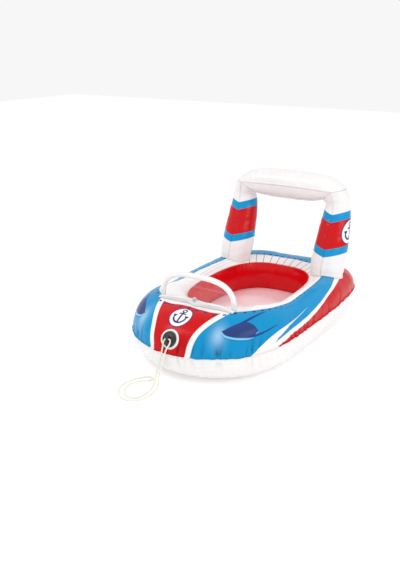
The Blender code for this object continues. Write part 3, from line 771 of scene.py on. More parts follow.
def hull_parts(settings):
    """The deck, the keel skin, the red wall and the floor sheet."""
    points, fields = hull_skin(deck_section, settings, 1)
    deck = film("deck_film", points, printed_deck(settings).material, True, fields)
    place(deck, "root", "hull_print", "hull_top_skin")

    points, fields = hull_skin(keel_section, settings, -1)
    keel = film("keel_film", points, keel_film(settings).material, True, fields, flip=True)
    place(keel, "root", "white_film", "hull_bottom_skin")

    shares = np.linspace(0, 1, 26)
    points = hull_grid(wall_section, settings.stations, shares, False)
    normals = grid_normals(points, True)
    along = run_lengths(np.concatenate([points, points[:1]]), 0)[:-1, :1]
    length = float(along.max())
    down = run_lengths(points, 1)
    top = Puckers(HULL_SEED + 5, length, 64, 0.0020).depth_at(along, down * 0.7)
    foot = Puckers(HULL_SEED + 6, length, 40, 0.0012).depth_at(along, down[:, -1:] - down)
    waves = soft_noise(along + 0 * down, down * 0.4, HULL_SEED + 7, 0.13) * 0.0016
    edge = np.minimum(smooth_step(shares, 0, 0.12), smooth_step(1 - shares, 0, 0.12))[None, :]
    points = points + normals * ((waves - top - foot) * edge)[:, :, None]
    wall = film("red_wall", points, red_wall(settings).material, True, {"down": down})
    place(wall, "root", "red_film", "cockpit_wall")

    place(floor_sheet(settings), "root", "pink_film", "floor_sheet")
    return deck


def floor_sheet(settings):
    """The sheet across the cockpit, with soft waves that die out towards its weld."""
    half = opening(120, grow=0.003)
    shares = np.linspace(-1, 1, 61)
    x = np.maximum(half[:, :1], 0.0004) * shares[None, :]
    y = np.broadcast_to(half[:, 1:], x.shape)
    fullness = 2.6
    beside = np.abs(x / OPENING_HALF_WIDTH) ** fullness
    ahead = np.abs((y - OPENING_CENTRE) / OPENING_HALF_LENGTH) ** fullness
    calm = 1 - smooth_step((beside + ahead) ** (1 / fullness), 0.72, 0.96)
    height = FLOOR_HEIGHT + FILM / 2 + (soft_noise(x, y, 31, 0.22) * 0.0022 - 0.002) * calm
    sheet = film("floor_film", np.stack([x, y, height], axis=2), floor_film(settings).material)
    return sheet


def anchor(across, down, size):
    """Cover of a plain anchor: eye, stock, shank and curved arms. Down runs to its crown."""
    ink = 0.060 * size
    soft = 0.02 * size
    eye = abs(((across ** 2 + (down + 0.50 * size) ** 2) ** 0.5) - 0.13 * size).under(ink * 0.8, soft)
    shank = abs(across).under(ink, soft).least(abs(down - 0.07 * size).under(0.45 * size, soft))
    stock = abs(across).under(0.26 * size, soft).least(abs(down + 0.24 * size).under(ink * 0.9, soft))
    bend = ((across ** 2 + (down - 0.02 * size) ** 2) ** 0.5)
    arms = abs(bend - 0.46 * size).under(ink, soft).least(down.over(0.12 * size, soft))
    tip = abs(across) - 0.44 * size
    palm = (abs(tip) + 0.55 * (down - 0.02 * size)).under(0.095 * size, soft)
    palm = palm.least(abs(down - 0.06 * size).under(0.16 * size, soft))
    return eye.most(shank).most(stock).most(arms).most(palm)


def roundel(finish, under, across, down, radius, white, navy):
    """A white disc with a navy rim and an anchor."""
    reach = (across ** 2 + down ** 2) ** 0.5
    colour = finish.paint(under, reach.under(radius, 0.0004), navy)
    colour = finish.paint(colour, reach.under(radius - 0.0036, 0.0004), white)
    return finish.paint(colour, anchor(across, down, radius * 1.24), navy)


ROUNDEL_PLACE = (-0.4290, 0.2052)
ROUNDEL_SLOPE = (-0.933, -0.360)
ROUNDEL_RADIUS = 0.0450
ROUNDEL_STRETCH = 0.855
DISC_PLACE = (-0.4945, 0.1507)
DISC_PATCH_RADIUS = 0.0328  # white print round the tow disc

INNER_BORDER = (
    (0.0, 0.600), (0.04, 0.588), (0.075, 0.558), (0.10, 0.549), (0.155, 0.585), (0.20, 0.580),
    (0.263, 0.596), (0.331, 0.660), (0.407, 0.697), (0.501, 0.712), (0.591, 0.733), (0.671, 0.742),
    (0.81, 0.776), (0.90, 0.795), (1.0, 0.785),
)
STRIPE_TOP = (
    (0.0, 0.0), (0.20, 0.0), (0.262, 0.060), (0.345, 0.163), (0.429, 0.218), (0.506, 0.288),
    (0.603, 0.413), (0.69, 0.520), (0.80, 0.560), (0.90, 0.562), (1.0, 0.562),
)
WEDGE_TOP = (
    (0.0, 0.0), (0.24, 0.0), (0.285, 0.010), (0.343, 0.079), (0.425, 0.127), (0.498, 0.209),
    (0.595, 0.339), (0.707, 0.440), (0.80, 0.478), (0.90, 0.482), (1.0, 0.482),
)
SPIKE_RANGE = (0.18, 0.46)
SPIKE_TOP = (
    (0.0, 0.0), (0.06, 0.0), (0.10, 0.028), (0.214, 0.123), (0.379, 0.209), (0.471, 0.241),
    (0.607, 0.285), (0.896, 0.358), (1.0, 0.372),
)
SPIKE_BOTTOM = (
    (0.0, 0.0), (0.26, 0.0), (0.332, 0.085), (0.418, 0.150), (0.607, 0.264), (0.896, 0.360), (1.0, 0.402),
)
LAMP_RANGE = (0.10, 0.30)
LAMP_TOP = (
    (0.0, 0.300), (0.094, 0.300), (0.18, 0.346), (0.28, 0.388), (0.357, 0.407), (0.44, 0.385),
    (0.52, 0.330), (0.567, 0.273), (0.60, 0.250), (1.0, 0.24),
)
LAMP_BOTTOM = (
    (0.0, 0.300), (0.094, 0.300), (0.14, 0.262), (0.21, 0.236), (0.365, 0.210), (0.46, 0.208),
    (0.525, 0.227), (0.567, 0.262), (0.60, 0.275), (1.0, 0.30),
)
BROW_TOP = (
    (0.0, 0.30), (0.25, 0.366), (0.357, 0.418), (0.52, 0.486), (0.725, 0.530), (0.78, 0.52), (1.0, 0.50),
)
BROW_BOTTOM = (
    (0.0, 0.32), (0.25, 0.376), (0.357, 0.388), (0.45, 0.418), (0.52, 0.452), (0.725, 0.526),
    (0.78, 0.54), (1.0, 0.60),
)
LASH_TOP = (
    (0.0, 0.19), (0.40, 0.206), (0.46, 0.222), (0.567, 0.232), (0.70, 0.252), (0.902, 0.294),
    (0.95, 0.290), (1.0, 0.28),
)
LASH_BOTTOM = (
    (0.0, 0.21), (0.40, 0.204), (0.46, 0.198), (0.567, 0.205), (0.70, 0.232), (0.902, 0.290),
    (0.95, 0.300), (1.0, 0.31),
)
PANEL_EDGE = (
    (0.0, 0.29), (0.158, 0.33), (0.227, 0.352), (0.33, 0.405), (0.42, 0.465), (0.547, 0.55),
    (0.7, 0.62), (1.0, 0.7),
)
KEYLINE_EDGE = (
    (0.0, 0.375), (0.158, 0.415), (0.25, 0.452), (0.38, 0.545), (0.52, 0.655), (0.7, 0.74), (1.0, 0.8),
)
PANEL_SCALE = 5.0           # the panel's edges are drawn at a fifth of their size
STITCHES = 35               # stitch marks from the bow to the stern


def printed_deck(settings):
    blue, red, white, navy = (tuple(c) for c in (settings.blue, settings.red, settings.white, settings.navy))
    finish = Finish("printed_deck", specular_ior_level=0.14, coat_weight=0.04, coat_roughness=0.10)
    x, y, z = finish.place()
    side = abs(x)
    along = finish.field("around")
    across = finish.field("across").most(0.002)
    fine = 0.004

    inner = finish.profile(along, INNER_BORDER)
    ring = across.over(inner, fine)
    stripe = across.over(finish.profile(along, STRIPE_TOP), fine)
    wedge = across.under(finish.profile(along, WEDGE_TOP), fine).least(along.over(0.282, 0.002))
    spike_at = (along - SPIKE_RANGE[0]) / (SPIKE_RANGE[1] - SPIKE_RANGE[0])
    spike = across.under(finish.profile(spike_at, SPIKE_TOP), fine)
    spike = spike.least(across.over(finish.profile(spike_at, SPIKE_BOTTOM), fine))
    spike = spike.least(along.over(0.198, 0.002)).least(along.under(0.437, 0.002))

    blue_tone = finish.noise(5.0, detail=2.0)
    deep = tuple(0.80 * c for c in blue)
    blue_film = finish.paint(blue, blue_tone.over(0.56, 0.22) * 0.55, deep)
    # Painted shade: blue and red go darker along the crease lines.
    crease = finish.field("crease")
    blue_film = finish.paint(blue_film, crease * 0.85, finish.shaded(blue_film, 0.30))
    red_film = finish.paint(red, crease * 0.85, tuple(0.30 * c for c in red))
    colour = finish.paint(white, stripe.least(1 - spike), blue_film)
    colour = finish.paint(colour, wedge, red_film)

    colour = headlamp(finish, colour, along, across, navy)
    colour = bow_panel(finish, colour, (side, y, z), across, red_film, white)
    # Painted reflection: near the opening the white ring turns orange, as if lit by the red wall.
    red_wall_reflection = finish.paint(white, across.over(0.93, 0.07) * 0.35, (0.90, 0.62, 0.56))
    colour = finish.paint(colour, ring, red_wall_reflection)
    colour = deck_lines(finish, colour, along, across, inner, navy)

    bow = y.under(-0.2, 0.01)
    slope = (y - ROUNDEL_PLACE[0]) * ROUNDEL_SLOPE[0] + (z - ROUNDEL_PLACE[1]) * ROUNDEL_SLOPE[1]
    wide = x / ROUNDEL_STRETCH
    lifted = roundel(finish, colour, wide, slope, ROUNDEL_RADIUS, white, navy)
    near = (wide ** 2 + slope ** 2).under((ROUNDEL_RADIUS + 0.003) ** 2, 0.00002)
    colour = finish.paint(colour, bow.least(near), lifted)
    patch = (x ** 2 + (y - DISC_PLACE[0]) ** 2 + (z - DISC_PLACE[1]) ** 2) ** 0.5
    colour = finish.paint(colour, patch.under(DISC_PATCH_RADIUS, 0.0004), white)

    # Painted shade: every colour of the print goes a little darker along the crease lines.
    colour = finish.paint(colour, crease * 0.2, finish.shaded(colour, 0.55))
    finish.set(base_color=colour, roughness=0.19 + 0.12 * finish.noise(30.0, detail=2.0))
    finish.bump(finish.noise(420.0, detail=1.0), 0.00012, 0.3)
    return finish


def headlamp(finish, colour, along, across, navy):
    """A leaf-shaped lamp with two trailing tails, and the pale glow before it: partly printed airbrush,
    partly painted highlight.
    """
    span = LAMP_RANGE[1] - LAMP_RANGE[0]
    at = (along - LAMP_RANGE[0]) / span
    near = along.over(LAMP_RANGE[0] + 0.003, 0.002).least(along.under(LAMP_RANGE[1] - 0.004, 0.002))
    fine = 0.004

    def between(top, bottom):
        cover = across.under(finish.profile(at, top), fine)
        return cover.least(across.over(finish.profile(at, bottom), fine)).least(near)

    # Pale glow before the lamp: partly printed airbrush, partly painted highlight.
    shine = (((along - 0.114) * 1.36) ** 2 + ((across - 0.250) * 0.19) ** 2) ** 0.5
    airbrush_and_highlight = finish.profile(shine / 0.046, ((0.0, 1.0), (0.25, 0.70), (0.6, 0.20), (1.0, 0.0)))
    colour = finish.paint(colour, airbrush_and_highlight * 0.48, (0.62, 0.82, 0.95))

    under = finish.profile(at, LAMP_BOTTOM)
    below = under - across
    lit = at.over(0.12, 0.04).least(at.under(0.55, 0.03))
    shine = abs(below - 0.014).under(0.012, 0.004).least(lit)
    colour = finish.paint(colour, shine * 0.75, (0.26, 0.58, 0.84))
    colour = finish.paint(colour, abs(below - 0.031).under(0.0035, 0.002).least(lit) * 0.8, navy)

    lamp = between(LAMP_TOP, LAMP_BOTTOM)
    glass = (0.018, 0.040, 0.165)
    inside = finish.paint(glass, across.over(0.30, 0.10) * 0.35, (0.045, 0.085, 0.28))
    colour = finish.paint(colour, lamp, inside)
    tails = between(BROW_TOP, BROW_BOTTOM).most(between(LASH_TOP, LASH_BOTTOM))
    return finish.paint(colour, tails, (0.012, 0.045, 0.225))


def bow_panel(finish, colour, where, across, red, white):
    """The red panel over the bow with a white line down each side."""
    side, y, _ = where
    bow = y.under(-0.2, 0.01)
    wide = side * PANEL_SCALE
    keyline = wide.under(finish.profile(across, KEYLINE_EDGE), 0.004)
    panel = wide.under(finish.profile(across, PANEL_EDGE), 0.004)
    colour = finish.paint(colour, keyline.least(bow), white)
    return finish.paint(colour, panel.least(bow), red)


def deck_lines(finish, colour, along, across, inner, navy):
    """Stitch marks beside the white ring, and the ring's plank lines."""
    mark = abs((along * STITCHES).wrapped(1.0)).under(0.17, 0.02)
    seam = abs(across - (inner - 0.030)).under(0.0125 + 0.010 * along.over(0.8, 0.1), 0.003)
    colour = finish.paint(colour, mark.least(seam), navy)
    ink = (0.05, 0.06, 0.10)
    gap = along - 0.815
    plank = abs((gap * 27.0).wrapped(1.0)).under(0.036, 0.010)
    plank = plank.least(along.over(0.80, 0.001)).least(across.over(inner + 0.004, 0.003))
    colour = finish.paint(colour, plank * 0.95, ink)
    reach = along.over(0.43, 0.002).least(along.under(0.795, 0.002))
    slant = 0.815 + (0.66 - along) * 0.16
    first = abs(across - slant).under(0.0035, 0.002).least(reach)
    second = abs(across - (slant + 0.075)).under(0.0032, 0.002).least(reach)
    colour = finish.paint(colour, first.most(second) * 0.7, ink)
    bend = along - 0.752 - (0.36 - across) * 0.10
    ribs = abs(bend).under(0.0022, 0.0008).most(abs(bend - 0.014).under(0.0018, 0.0008))
    ribs = ribs.least(across.under(0.465, 0.004)).least(across.over(0.17, 0.01))
    return finish.paint(colour, ribs * 0.85, (0.05, 0.02, 0.06))


def keel_film(settings):
    finish = vinyl("keel_vinyl", tuple(settings.white))
    white = tuple(settings.white)
    tone = finish.noise(9.0, detail=3.0)
    colour = finish.paint(tuple(0.95 * c for c in white), tone.over(0.5, 0.25), white)
    # Painted shade: the white film goes darker along the crease lines.
    finish.set(base_color=finish.paint(colour, finish.field("crease") * 0.3, tuple(0.62 * c for c in white)))
    return finish


def red_wall(settings):
    # Painted light: the wall's red is the print's red made brighter, to lift the wall out of the cockpit's
    # shade.
    red = tuple(1.22 * c for c in settings.red)
    finish = Finish("red_wall_vinyl", specular_ior_level=0.20, coat_weight=0.10, coat_roughness=0.06)
    tone = finish.noise(7.0, detail=2.0)
    colour = finish.paint(red, tone.over(0.5, 0.2) * 0.5, tuple(0.80 * c for c in red))
    finish.set(base_color=colour, roughness=0.18 + 0.14 * finish.noise(26.0, detail=2.0))
    finish.bump(finish.noise(420.0, detail=1.0), 0.00012, 0.3)
    return finish


def floor_film(settings):
    colour = tuple(settings.floor)
    finish = Finish("floor_vinyl", specular_ior_level=0.5, coat_weight=0.25, coat_roughness=0.08)
    x, y, _ = finish.place()
    edge = ((x / OPENING_HALF_WIDTH) ** 2 + ((y - OPENING_CENTRE) / OPENING_HALF_LENGTH) ** 2) ** 0.5
    # Painted reflection: the pink sheet goes redder towards its edge, beside the red wall.
    red_wall_bounce = finish.paint(colour, edge.over(0.75, 0.30) * 0.45, (0.90, 0.46, 0.50))
    finish.set(base_color=red_wall_bounce, roughness=0.22 + 0.14 * finish.noise(18.0, detail=2.0))
    finish.bump(finish.noise(300.0, detail=1.0), 0.00015, 0.3)
    return finish


# ---------------------------------------------------------------- rear arch

PANEL_TURNS = np.linspace(0, math.pi, 41)
COLUMN_FLANGE = 0.0012
FLAP_EXTRA = 0.0050         # the seam's flange is wider at the arch's corners


def panel_ring(front, back, swell, flange):
    """Flange, curved panel and flange: points from front to back, pushed out by the swell."""
    front, back, swell = (np.array(v, float) for v in (front, back, swell))
    middle = (front + back) / 2
    half = (back - front) / 2
    edge = half / np.linalg.norm(half)
    points = [front - edge * flange[0], front - edge * flange[0] / 2]
    for turn in PANEL_TURNS:
        points.append(middle - half * math.cos(turn) + swell * math.sin(turn))
    points += [back + edge * flange[1] / 2, back + edge * flange[1]]
    return np.array(points)


def corner_points(side, half, offset, shift):
    """The weld between a column and the crossbar, moved off its middle by the offset."""
    out, up = CORNER_OUT if half > 0 else CORNER_IN
    tilt = math.atan2(CORNER_OUT[1] + CORNER_IN[1], CORNER_OUT[0] + CORNER_IN[0])
    dx = side * (half * shift[0] - offset * math.sin(tilt))
    dz = half * shift[1] + offset * math.cos(tilt)
    x = side * CORNER_X + dx
    z = CORNER_HEIGHT + dz
    front = (x, ARCH_MIDDLE - ARCH_HALF_DEPTH, z)
    back = (x, ARCH_MIDDLE + ARCH_HALF_DEPTH, z)
    swell = (side * half * out, 0, half * up)
    return panel_ring(front, back, swell, (SEAM_WIDTH + 0.0015, SEAM_WIDTH + FLAP_EXTRA))


def smooth_loft(rings, count):
    """Many rings on smooth curves through a few, spaced evenly up the piece."""
    rings = np.array(rings)
    steps = np.linalg.norm(np.diff(rings, axis=0), axis=2).mean(axis=1)
    run = np.concatenate([[0], np.cumsum(steps)])
    slope = np.gradient(rings, run, axis=0)
    made = []
    for at in np.linspace(0, run[-1], count):
        k = int(min(max(np.searchsorted(run, at) - 1, 0), len(run) - 2))
        h = run[k + 1] - run[k]
        t = (at - run[k]) / h
        made.append((2 * t ** 3 - 3 * t ** 2 + 1) * rings[k] + (t ** 3 - 2 * t ** 2 + t) * h * slope[k]
                    + (3 * t ** 2 - 2 * t ** 3) * rings[k + 1] + (t ** 3 - t ** 2) * h * slope[k + 1])
    return np.array(made)


def column_points(side, half, tree, levels):
    shift = side * half * WELD
    foot_y, foot_radius = COLUMN_FOOT
    x = side * COLUMN_SPREAD + shift
    ring = panel_ring((x, foot_y - foot_radius, 0.4), (x, foot_y + foot_radius, 0.4),
                      (side * half * foot_radius, 0, 0), (0.0001, 0.0001))
    for point in ring:
        point[2] = drop_on(tree, point, (0, 0, -1)).z + 2 * FOOT_LIFT + FILM / 2
    rings = [ring]
    for height, centre_y, radius in COLUMN_RINGS:
        rings.append(panel_ring((x, centre_y - radius, height), (x, centre_y + radius, height),
                                (side * half * radius, 0, 0), (COLUMN_FLANGE, COLUMN_FLANGE)))
    corner = corner_points(side, half, -0.0001, (WELD, 0))
    between = (rings[-1] + corner) / 2
    bulge = np.concatenate([(0, 0), np.sin(PANEL_TURNS), (0, 0)])
    between[:, 0] += side * half * 0.005 * bulge
    return smooth_loft(rings + [between, corner], levels)


def column_panel(name, side, half, tree, settings, finish):
    points = column_points(side, half, tree, settings.levels)
    normals = grid_normals(points, False)
    outward = np.sign((normals[:, :, 0] * side * half).mean())
    normals = normals * outward
    run = run_lengths(points, 1)
    front = np.maximum(run - run[:, 2:3], 0)
    back = np.maximum(run[:, -3:-2] - run, 0)
    up = points[:, :, 2]
    seed = 40 + (3 * side + half)
    front_folds = Puckers(seed, 1.0, 62, settings.fold_depth * 1.9)
    back_folds = Puckers(seed + 9, 1.0, 62, settings.fold_depth * 1.9)
    depth = front_folds.depth_at(up, front * 0.85) + back_folds.depth_at(up, back * 0.85)
    rings = soft_noise(front * 0.25, up, seed + 20, 0.020, count=18) * settings.fold_depth * 0.45
    slow = soft_noise(front, up, seed + 30, 0.12) * settings.fold_depth * 0.8
    turns = np.concatenate([(0, 0), PANEL_TURNS, (math.pi, math.pi)])
    inside = smooth_step(np.sin(turns), 0.02, 0.22)[None, :]
    level = np.linspace(0, 1, settings.levels)[:, None]
    ends = smooth_step(level, 0.0, 0.04) * (1 - smooth_step(level, 0.96, 1.0))
    points = points + normals * ((rings + slow - depth) * inside * ends)[:, :, None]
    shape = np.broadcast_to(turns[None, :], up.shape)
    flip = outward < 0
    obj = film(name, points, finish, fields={"turn": shape}, flip=flip)
    return obj


def column_foot(name, side, tree, finish):
    """The ring of film that welds a column to the deck."""
    foot_y, foot_radius = COLUMN_FOOT
    count = 120
    rings = []
    wave = np.random.default_rng(5).uniform(-0.0006, 0.0006, 40)
    for k in range(count):
        angle = 2 * math.pi * k / count
        ring = []
        for share in (-0.5, -0.2, 0.2, 0.5):
            radius = foot_radius + share * FOOT_WIDTH
            radius += float(np.interp(k / 3, np.arange(40), wave, period=40)) * (share > 0)
            x = side * COLUMN_SPREAD + radius * math.cos(angle)
            y = foot_y + radius * math.sin(angle)
            z = drop_on(tree, (x, y, 0.4), (0, 0, -1)).z + FILM / 2 + FOOT_LIFT
            ring.append((x, y, z + 0.0006 * math.cos(math.pi * share)))
        rings.append(ring)
    return film(name, np.array(rings), finish, closed=True)


def crossbar_points(half, count):
    out, up = CORNER_OUT if half > 0 else CORNER_IN
    rings = []
    for s in np.linspace(1, -1, count):
        lift = half * WELD
        fall = abs(s) ** CROSSBAR_FULLNESS
        middle_z = CROSSBAR_TOP if half > 0 else CROSSBAR_BOTTOM
        far_z = middle_z + (CORNER_HEIGHT + half * up - middle_z) * fall
        seam_z = CORNER_HEIGHT + 0.006 * (1 - s * s)
        depth = ARCH_HALF_DEPTH + 0.003 * (1 - s * s)
        near_end = abs(s) ** 16
        x = CORNER_X * s
        z = seam_z + lift
        corner = math.exp(-((1 - abs(s)) / 0.055) ** 2)
        flange = (SEAM_WIDTH + 0.0015 * corner, SEAM_WIDTH + FLAP_EXTRA * corner)
        ring = panel_ring((x, ARCH_MIDDLE - depth, z), (x, ARCH_MIDDLE + depth, z),
                          (half * out * s, 0, far_z - seam_z), flange)
        fullness = 1 - 0.1 * (1 - near_end)
        swell = np.sin(PANEL_TURNS) ** fullness
        ring[2:-2, 0] = x + half * out * s * swell
        ring[2:-2, 1] = ARCH_MIDDLE - depth * power(np.cos(PANEL_TURNS), fullness)
        ring[2:-2, 2] = z + (far_z - seam_z) * swell
        rings.append(ring)
    return np.array(rings)


def crossbar_panel(name, half, settings, finish):
    points = crossbar_points(half, 150)
    normals = grid_normals(points, False)
    outward = float(np.sign((normals[:, :, 2] * half).mean()))
    normals = normals * outward
    run = run_lengths(points, 1)
    front = np.maximum(run - run[:, 2:3], 0)
    back = np.maximum(run[:, -3:-2] - run, 0)
    across = points[:, :, 0]
    front_folds = Puckers(70 + half, 0.8, 30, settings.fold_depth * 2.2)
    back_folds = Puckers(80 + half, 0.8, 30, settings.fold_depth * 2.2)
    depth = front_folds.depth_at(across, front * 0.7) + back_folds.depth_at(across, back * 0.7)
    slow = soft_noise(front * 0.5, across, 90 + half, 0.07) * settings.fold_depth * 0.9
    turns = np.concatenate([(0, 0), PANEL_TURNS, (math.pi, math.pi)])
    inside = smooth_step(np.sin(turns), 0.02, 0.25)[None, :]
    level = np.abs(np.linspace(-1, 1, len(points)))[:, None]
    ends = 1 - smooth_step(level, 0.97, 1.0)
    end_pull = 0.0012 * smooth_step(level, 0.80, 0.97) * np.sin(front / 0.0042) * ends
    points = points + normals * ((slow - depth + end_pull) * inside * ends)[:, :, None]
    return film(name, points, finish, flip=outward < 0)


def arch_parts(settings, hull, deck):
    white = vinyl("arch_vinyl", tuple(hull.white)).material
    printed = column_print(hull).material
    with_roundel = column_print(hull, badge=True).material
    for side, word in ((1, "port"), (-1, "starboard")):
        for half, kind in ((1, "outer"), (-1, "inner")):
            finish = with_roundel if half > 0 else printed
            node = "%s_column_%s_panel" % (word, kind)
            panel = column_panel("%s_column_%s_film" % (word, kind), side, half, deck, settings, finish)
            place(panel, "root", "arch_print", node)
        foot = column_foot("%s_foot_weld" % word, side, deck, white)
        place(foot, "root", "white_film", "%s_column_foot" % word)
    for half, word in ((1, "top"), (-1, "bottom")):
        bar = crossbar_panel("crossbar_%s_film" % word, half, settings, white)
        place(bar, "root", "white_film", "crossbar_%s_panel" % word)


BAND_RISE = 0.0135          # a band climbs this far between a seam and a panel's middle
BLUE_BANDS = ((0.257, 0.284), (0.380, 0.409))


def column_print(hull, badge=False):
    blue, red, white, navy = (tuple(c) for c in (hull.blue, hull.red, hull.white, hull.navy))
    finish = Finish("column_print_with_roundel" if badge else "column_print",
                    specular_ior_level=0.18, coat_weight=0.08, coat_roughness=0.10)
    z = finish.place()[2]
    turn = finish.field("turn")
    height = z - BAND_RISE * turn.sine()
    fine = 0.0005
    low, high = BLUE_BANDS
    tone = finish.noise(9.0, detail=3.0)
    paper = finish.paint(tuple(0.93 * c for c in white), tone.over(0.5, 0.25), white)
    colour = finish.paint(paper, height.over(low[0], fine).least(height.under(high[1], fine)), blue)
    colour = finish.paint(colour, height.over(low[1], fine).least(height.under(high[0], fine)), red)
    if badge:
        around = (turn - math.pi / 2) * 0.060
        level = sum(low[1:] + high[:1]) / 2 + BAND_RISE
        down = level - z
        near = (around ** 2 + down ** 2).under(0.0023, 0.00003)
        colour = finish.paint(colour, near, roundel(finish, colour, around, down, 0.0450, white, navy))
    finish.set(base_color=colour, roughness=0.20 + 0.12 * finish.noise(34.0, detail=2.0))
    finish.bump(finish.noise(420.0, detail=1.0), 0.00012, 0.3)
    return finish


# ---------------------------------------------------------------- windscreen

def screen_matrix():
    """From the pane's own plane (X across, Y up the pane) to the boat."""
    lean = Matrix.Rotation(math.pi / 2 - SCREEN_LEAN, 4, "X")
    return Matrix.Translation(SCREEN_HINGE) @ lean


def on_screen(points):
    matrix = np.array(screen_matrix())
    return points @ matrix[:3, :3].T + matrix[:3, 3]


def screen_path(inset, foot, count):
    """The pane's rounded outline, from the port foot over the top to the starboard foot."""
    angle = np.linspace(0, math.pi, 1441)
    dense = np.stack([
        (SCREEN_HALF_WIDTH - inset) * power(np.cos(angle), 2 / SCREEN_POWER),
        foot + (SCREEN_HEIGHT - inset - foot) * np.abs(np.sin(angle)) ** (2 / SCREEN_POWER)], axis=1)
    return even_points(dense, count)


def rim_panel(name, face, finish):
    """The front (+1) or back (-1) half of the rim tube, puckered where it bends."""
    count = 230
    middle = screen_path(RIM_HALF_WIDTH, 0.001, count)
    tangent = np.gradient(middle, axis=0)
    tangent /= np.linalg.norm(tangent, axis=1, keepdims=True)
    outward = np.stack([tangent[:, 1], -tangent[:, 0]], axis=1)
    along = run_lengths(middle[None, :, :], 1)[0]
    full = smooth_step(middle[:, 1], 0.0, 0.030)
    depth = RIM_FLAT + (RIM_HALF_DEPTH - RIM_FLAT) * full
    turns = np.linspace(0, math.pi, 19)
    across = np.concatenate([(1.22, 1.11), power(np.cos(turns), 0.88), (-1.06, -1.12)])
    rise = np.concatenate([(0, 0), np.sin(turns) ** 0.88, (0, 0)])
    folds = Puckers(120 + face, float(along[-1]) + 0.2, 46, 0.0011)
    inner = (across[None, :] + 1.0) * RIM_HALF_WIDTH
    dent = folds.depth_at(along[:, None], np.maximum(inner, 0) * 1.6) * (rise > 0)[None, :] * full[:, None]
    dent = dent * smooth_step(rise, 0.0, 0.4)[None, :]
    shift = np.where(across < 0, FILM, WELD)[None, :] + 0.2 * FILM
    height = face * (np.maximum(rise[None, :] * depth[:, None] - dent, 0) + shift)
    flat = middle[:, None, :] + outward[:, None, :] * across[None, :, None] * RIM_HALF_WIDTH
    points = on_screen(np.concatenate([flat, height[:, :, None]], axis=2))
    return film(name, points, finish, flip=face > 0)


def pane(settings, finish):
    inset = 2 * RIM_HALF_WIDTH - 0.0015
    foot = 0.001
    wide = SCREEN_HALF_WIDTH - inset
    tall = SCREEN_HEIGHT - inset - foot
    across = np.sin(np.linspace(-math.pi / 2, math.pi / 2, 91)) * 0.9995
    top = foot + tall * (1 - np.abs(across) ** SCREEN_POWER) ** (1 / SCREEN_POWER)
    shares = np.linspace(0, 1, 31)
    x = np.broadcast_to((across * wide)[:, None], (91, 31))
    y = foot + (top - foot)[:, None] * shares[None, :]
    middle = (1 - across ** 2)[:, None] * np.sin(math.pi * shares)[None, :]
    bow = -settings.sag * middle
    fold = 0.0007 * np.exp(-((y - 0.052 - 0.02 * x) / 0.0022) ** 2) * middle
    ripple = 0.0004 * soft_noise(x, y, 61, 0.07) * middle
    points = on_screen(np.stack([x, y, bow + fold + ripple], axis=2))
    return film("clear_pane", points, finish, thickness=0.0006)


def base_bar(tree, finish):
    """The flat inflated bar that carries the pane, welded to the deck along both edges."""
    steps = 140
    section = (
        (0.0, 0.0), (0.06, 0.0), (0.12, 0.0), (0.135, 0.2), (0.155, 0.42), (0.20, 0.63),
        (0.26, 0.79), (0.35, 0.94), (0.45, 1.0), (0.54, 1.01), (0.62, 0.99), (0.71, 0.88),
        (0.79, 0.72), (0.85, 0.50), (0.885, 0.28), (0.90, 0.0), (0.95, 0.0), (1.0, 0.0),
    )
    x = np.linspace(-BAR_HALF_LENGTH, BAR_HALF_LENGTH, steps + 1)
    full = 0.10 + 0.72 * (1 - np.abs(x / BAR_HALF_LENGTH) ** 4) + 0.18 * np.exp(-(x / 0.020) ** 2)
    dents = Puckers(140, 0.5, 34, 0.0014)
    rings = []
    for place_x, fullness in zip(x, full):
        ring = []
        for along, rise in section:
            front = BAR_FRONT + BAR_WAIST * (1 - math.exp(-(place_x / 0.016) ** 2))
            y = front + (BAR_BACK - front) * along
            deck = drop_on(tree, (place_x, y, 0.4), (0, 0, -1))
            dent = float(dents.depth_at(np.array(place_x), np.array(abs(along - 0.14) * 0.045)))
            dent *= (rise > 0) * (1 - rise * 0.6)
            lift = max(BAR_RISE * rise * fullness - dent, 0)
            ring.append((place_x, y, deck.z + FILM / 2 + BAR_LIFT + lift))
        rings.append(ring)
    return film("base_bar_film", np.array(rings), finish, flip=False)


def windscreen_parts(settings, hull, deck):
    white = tuple(hull.white)
    rim = vinyl("rim_vinyl", tuple(min(1.0, 1.04 * c) for c in white)).material
    for face, word in ((1, "front"), (-1, "back")):
        half = rim_panel("rim_%s_film" % word, face, rim)
        place(half, "windscreen", "white_film", "windscreen_rim_%s" % word)
    place(pane(settings, clear_film(settings).material), "windscreen", "clear_film", "windscreen_pane")
    place(base_bar(deck, milky_film().material), "root", "milky_film", "windscreen_base_bar")


def clear_film(settings):
    finish = Finish("clear_pane_film", specular_ior_level=0.6, coat_weight=0.8, coat_roughness=0.04)
    z = finish.place()[2]
    smear = finish.noise(14.0, detail=4.0, stretch=(1.0, 1.0, 0.35))
    fold = abs(z - SCREEN_HINGE[2] - 0.051).under(0.0012, 0.0008)
    finish.set(base_color=finish.paint((0.82, 0.86, 0.90), smear, (0.93, 0.94, 0.96)))
    finish.set(roughness=0.10 + 0.08 * smear)
    finish.set(alpha=settings.haze * (0.8 + 0.5 * smear) + 0.10 * fold)
    finish.bump(smear, 0.0004, 0.25)
    finish.material.surface_render_method = "BLENDED"
    return finish


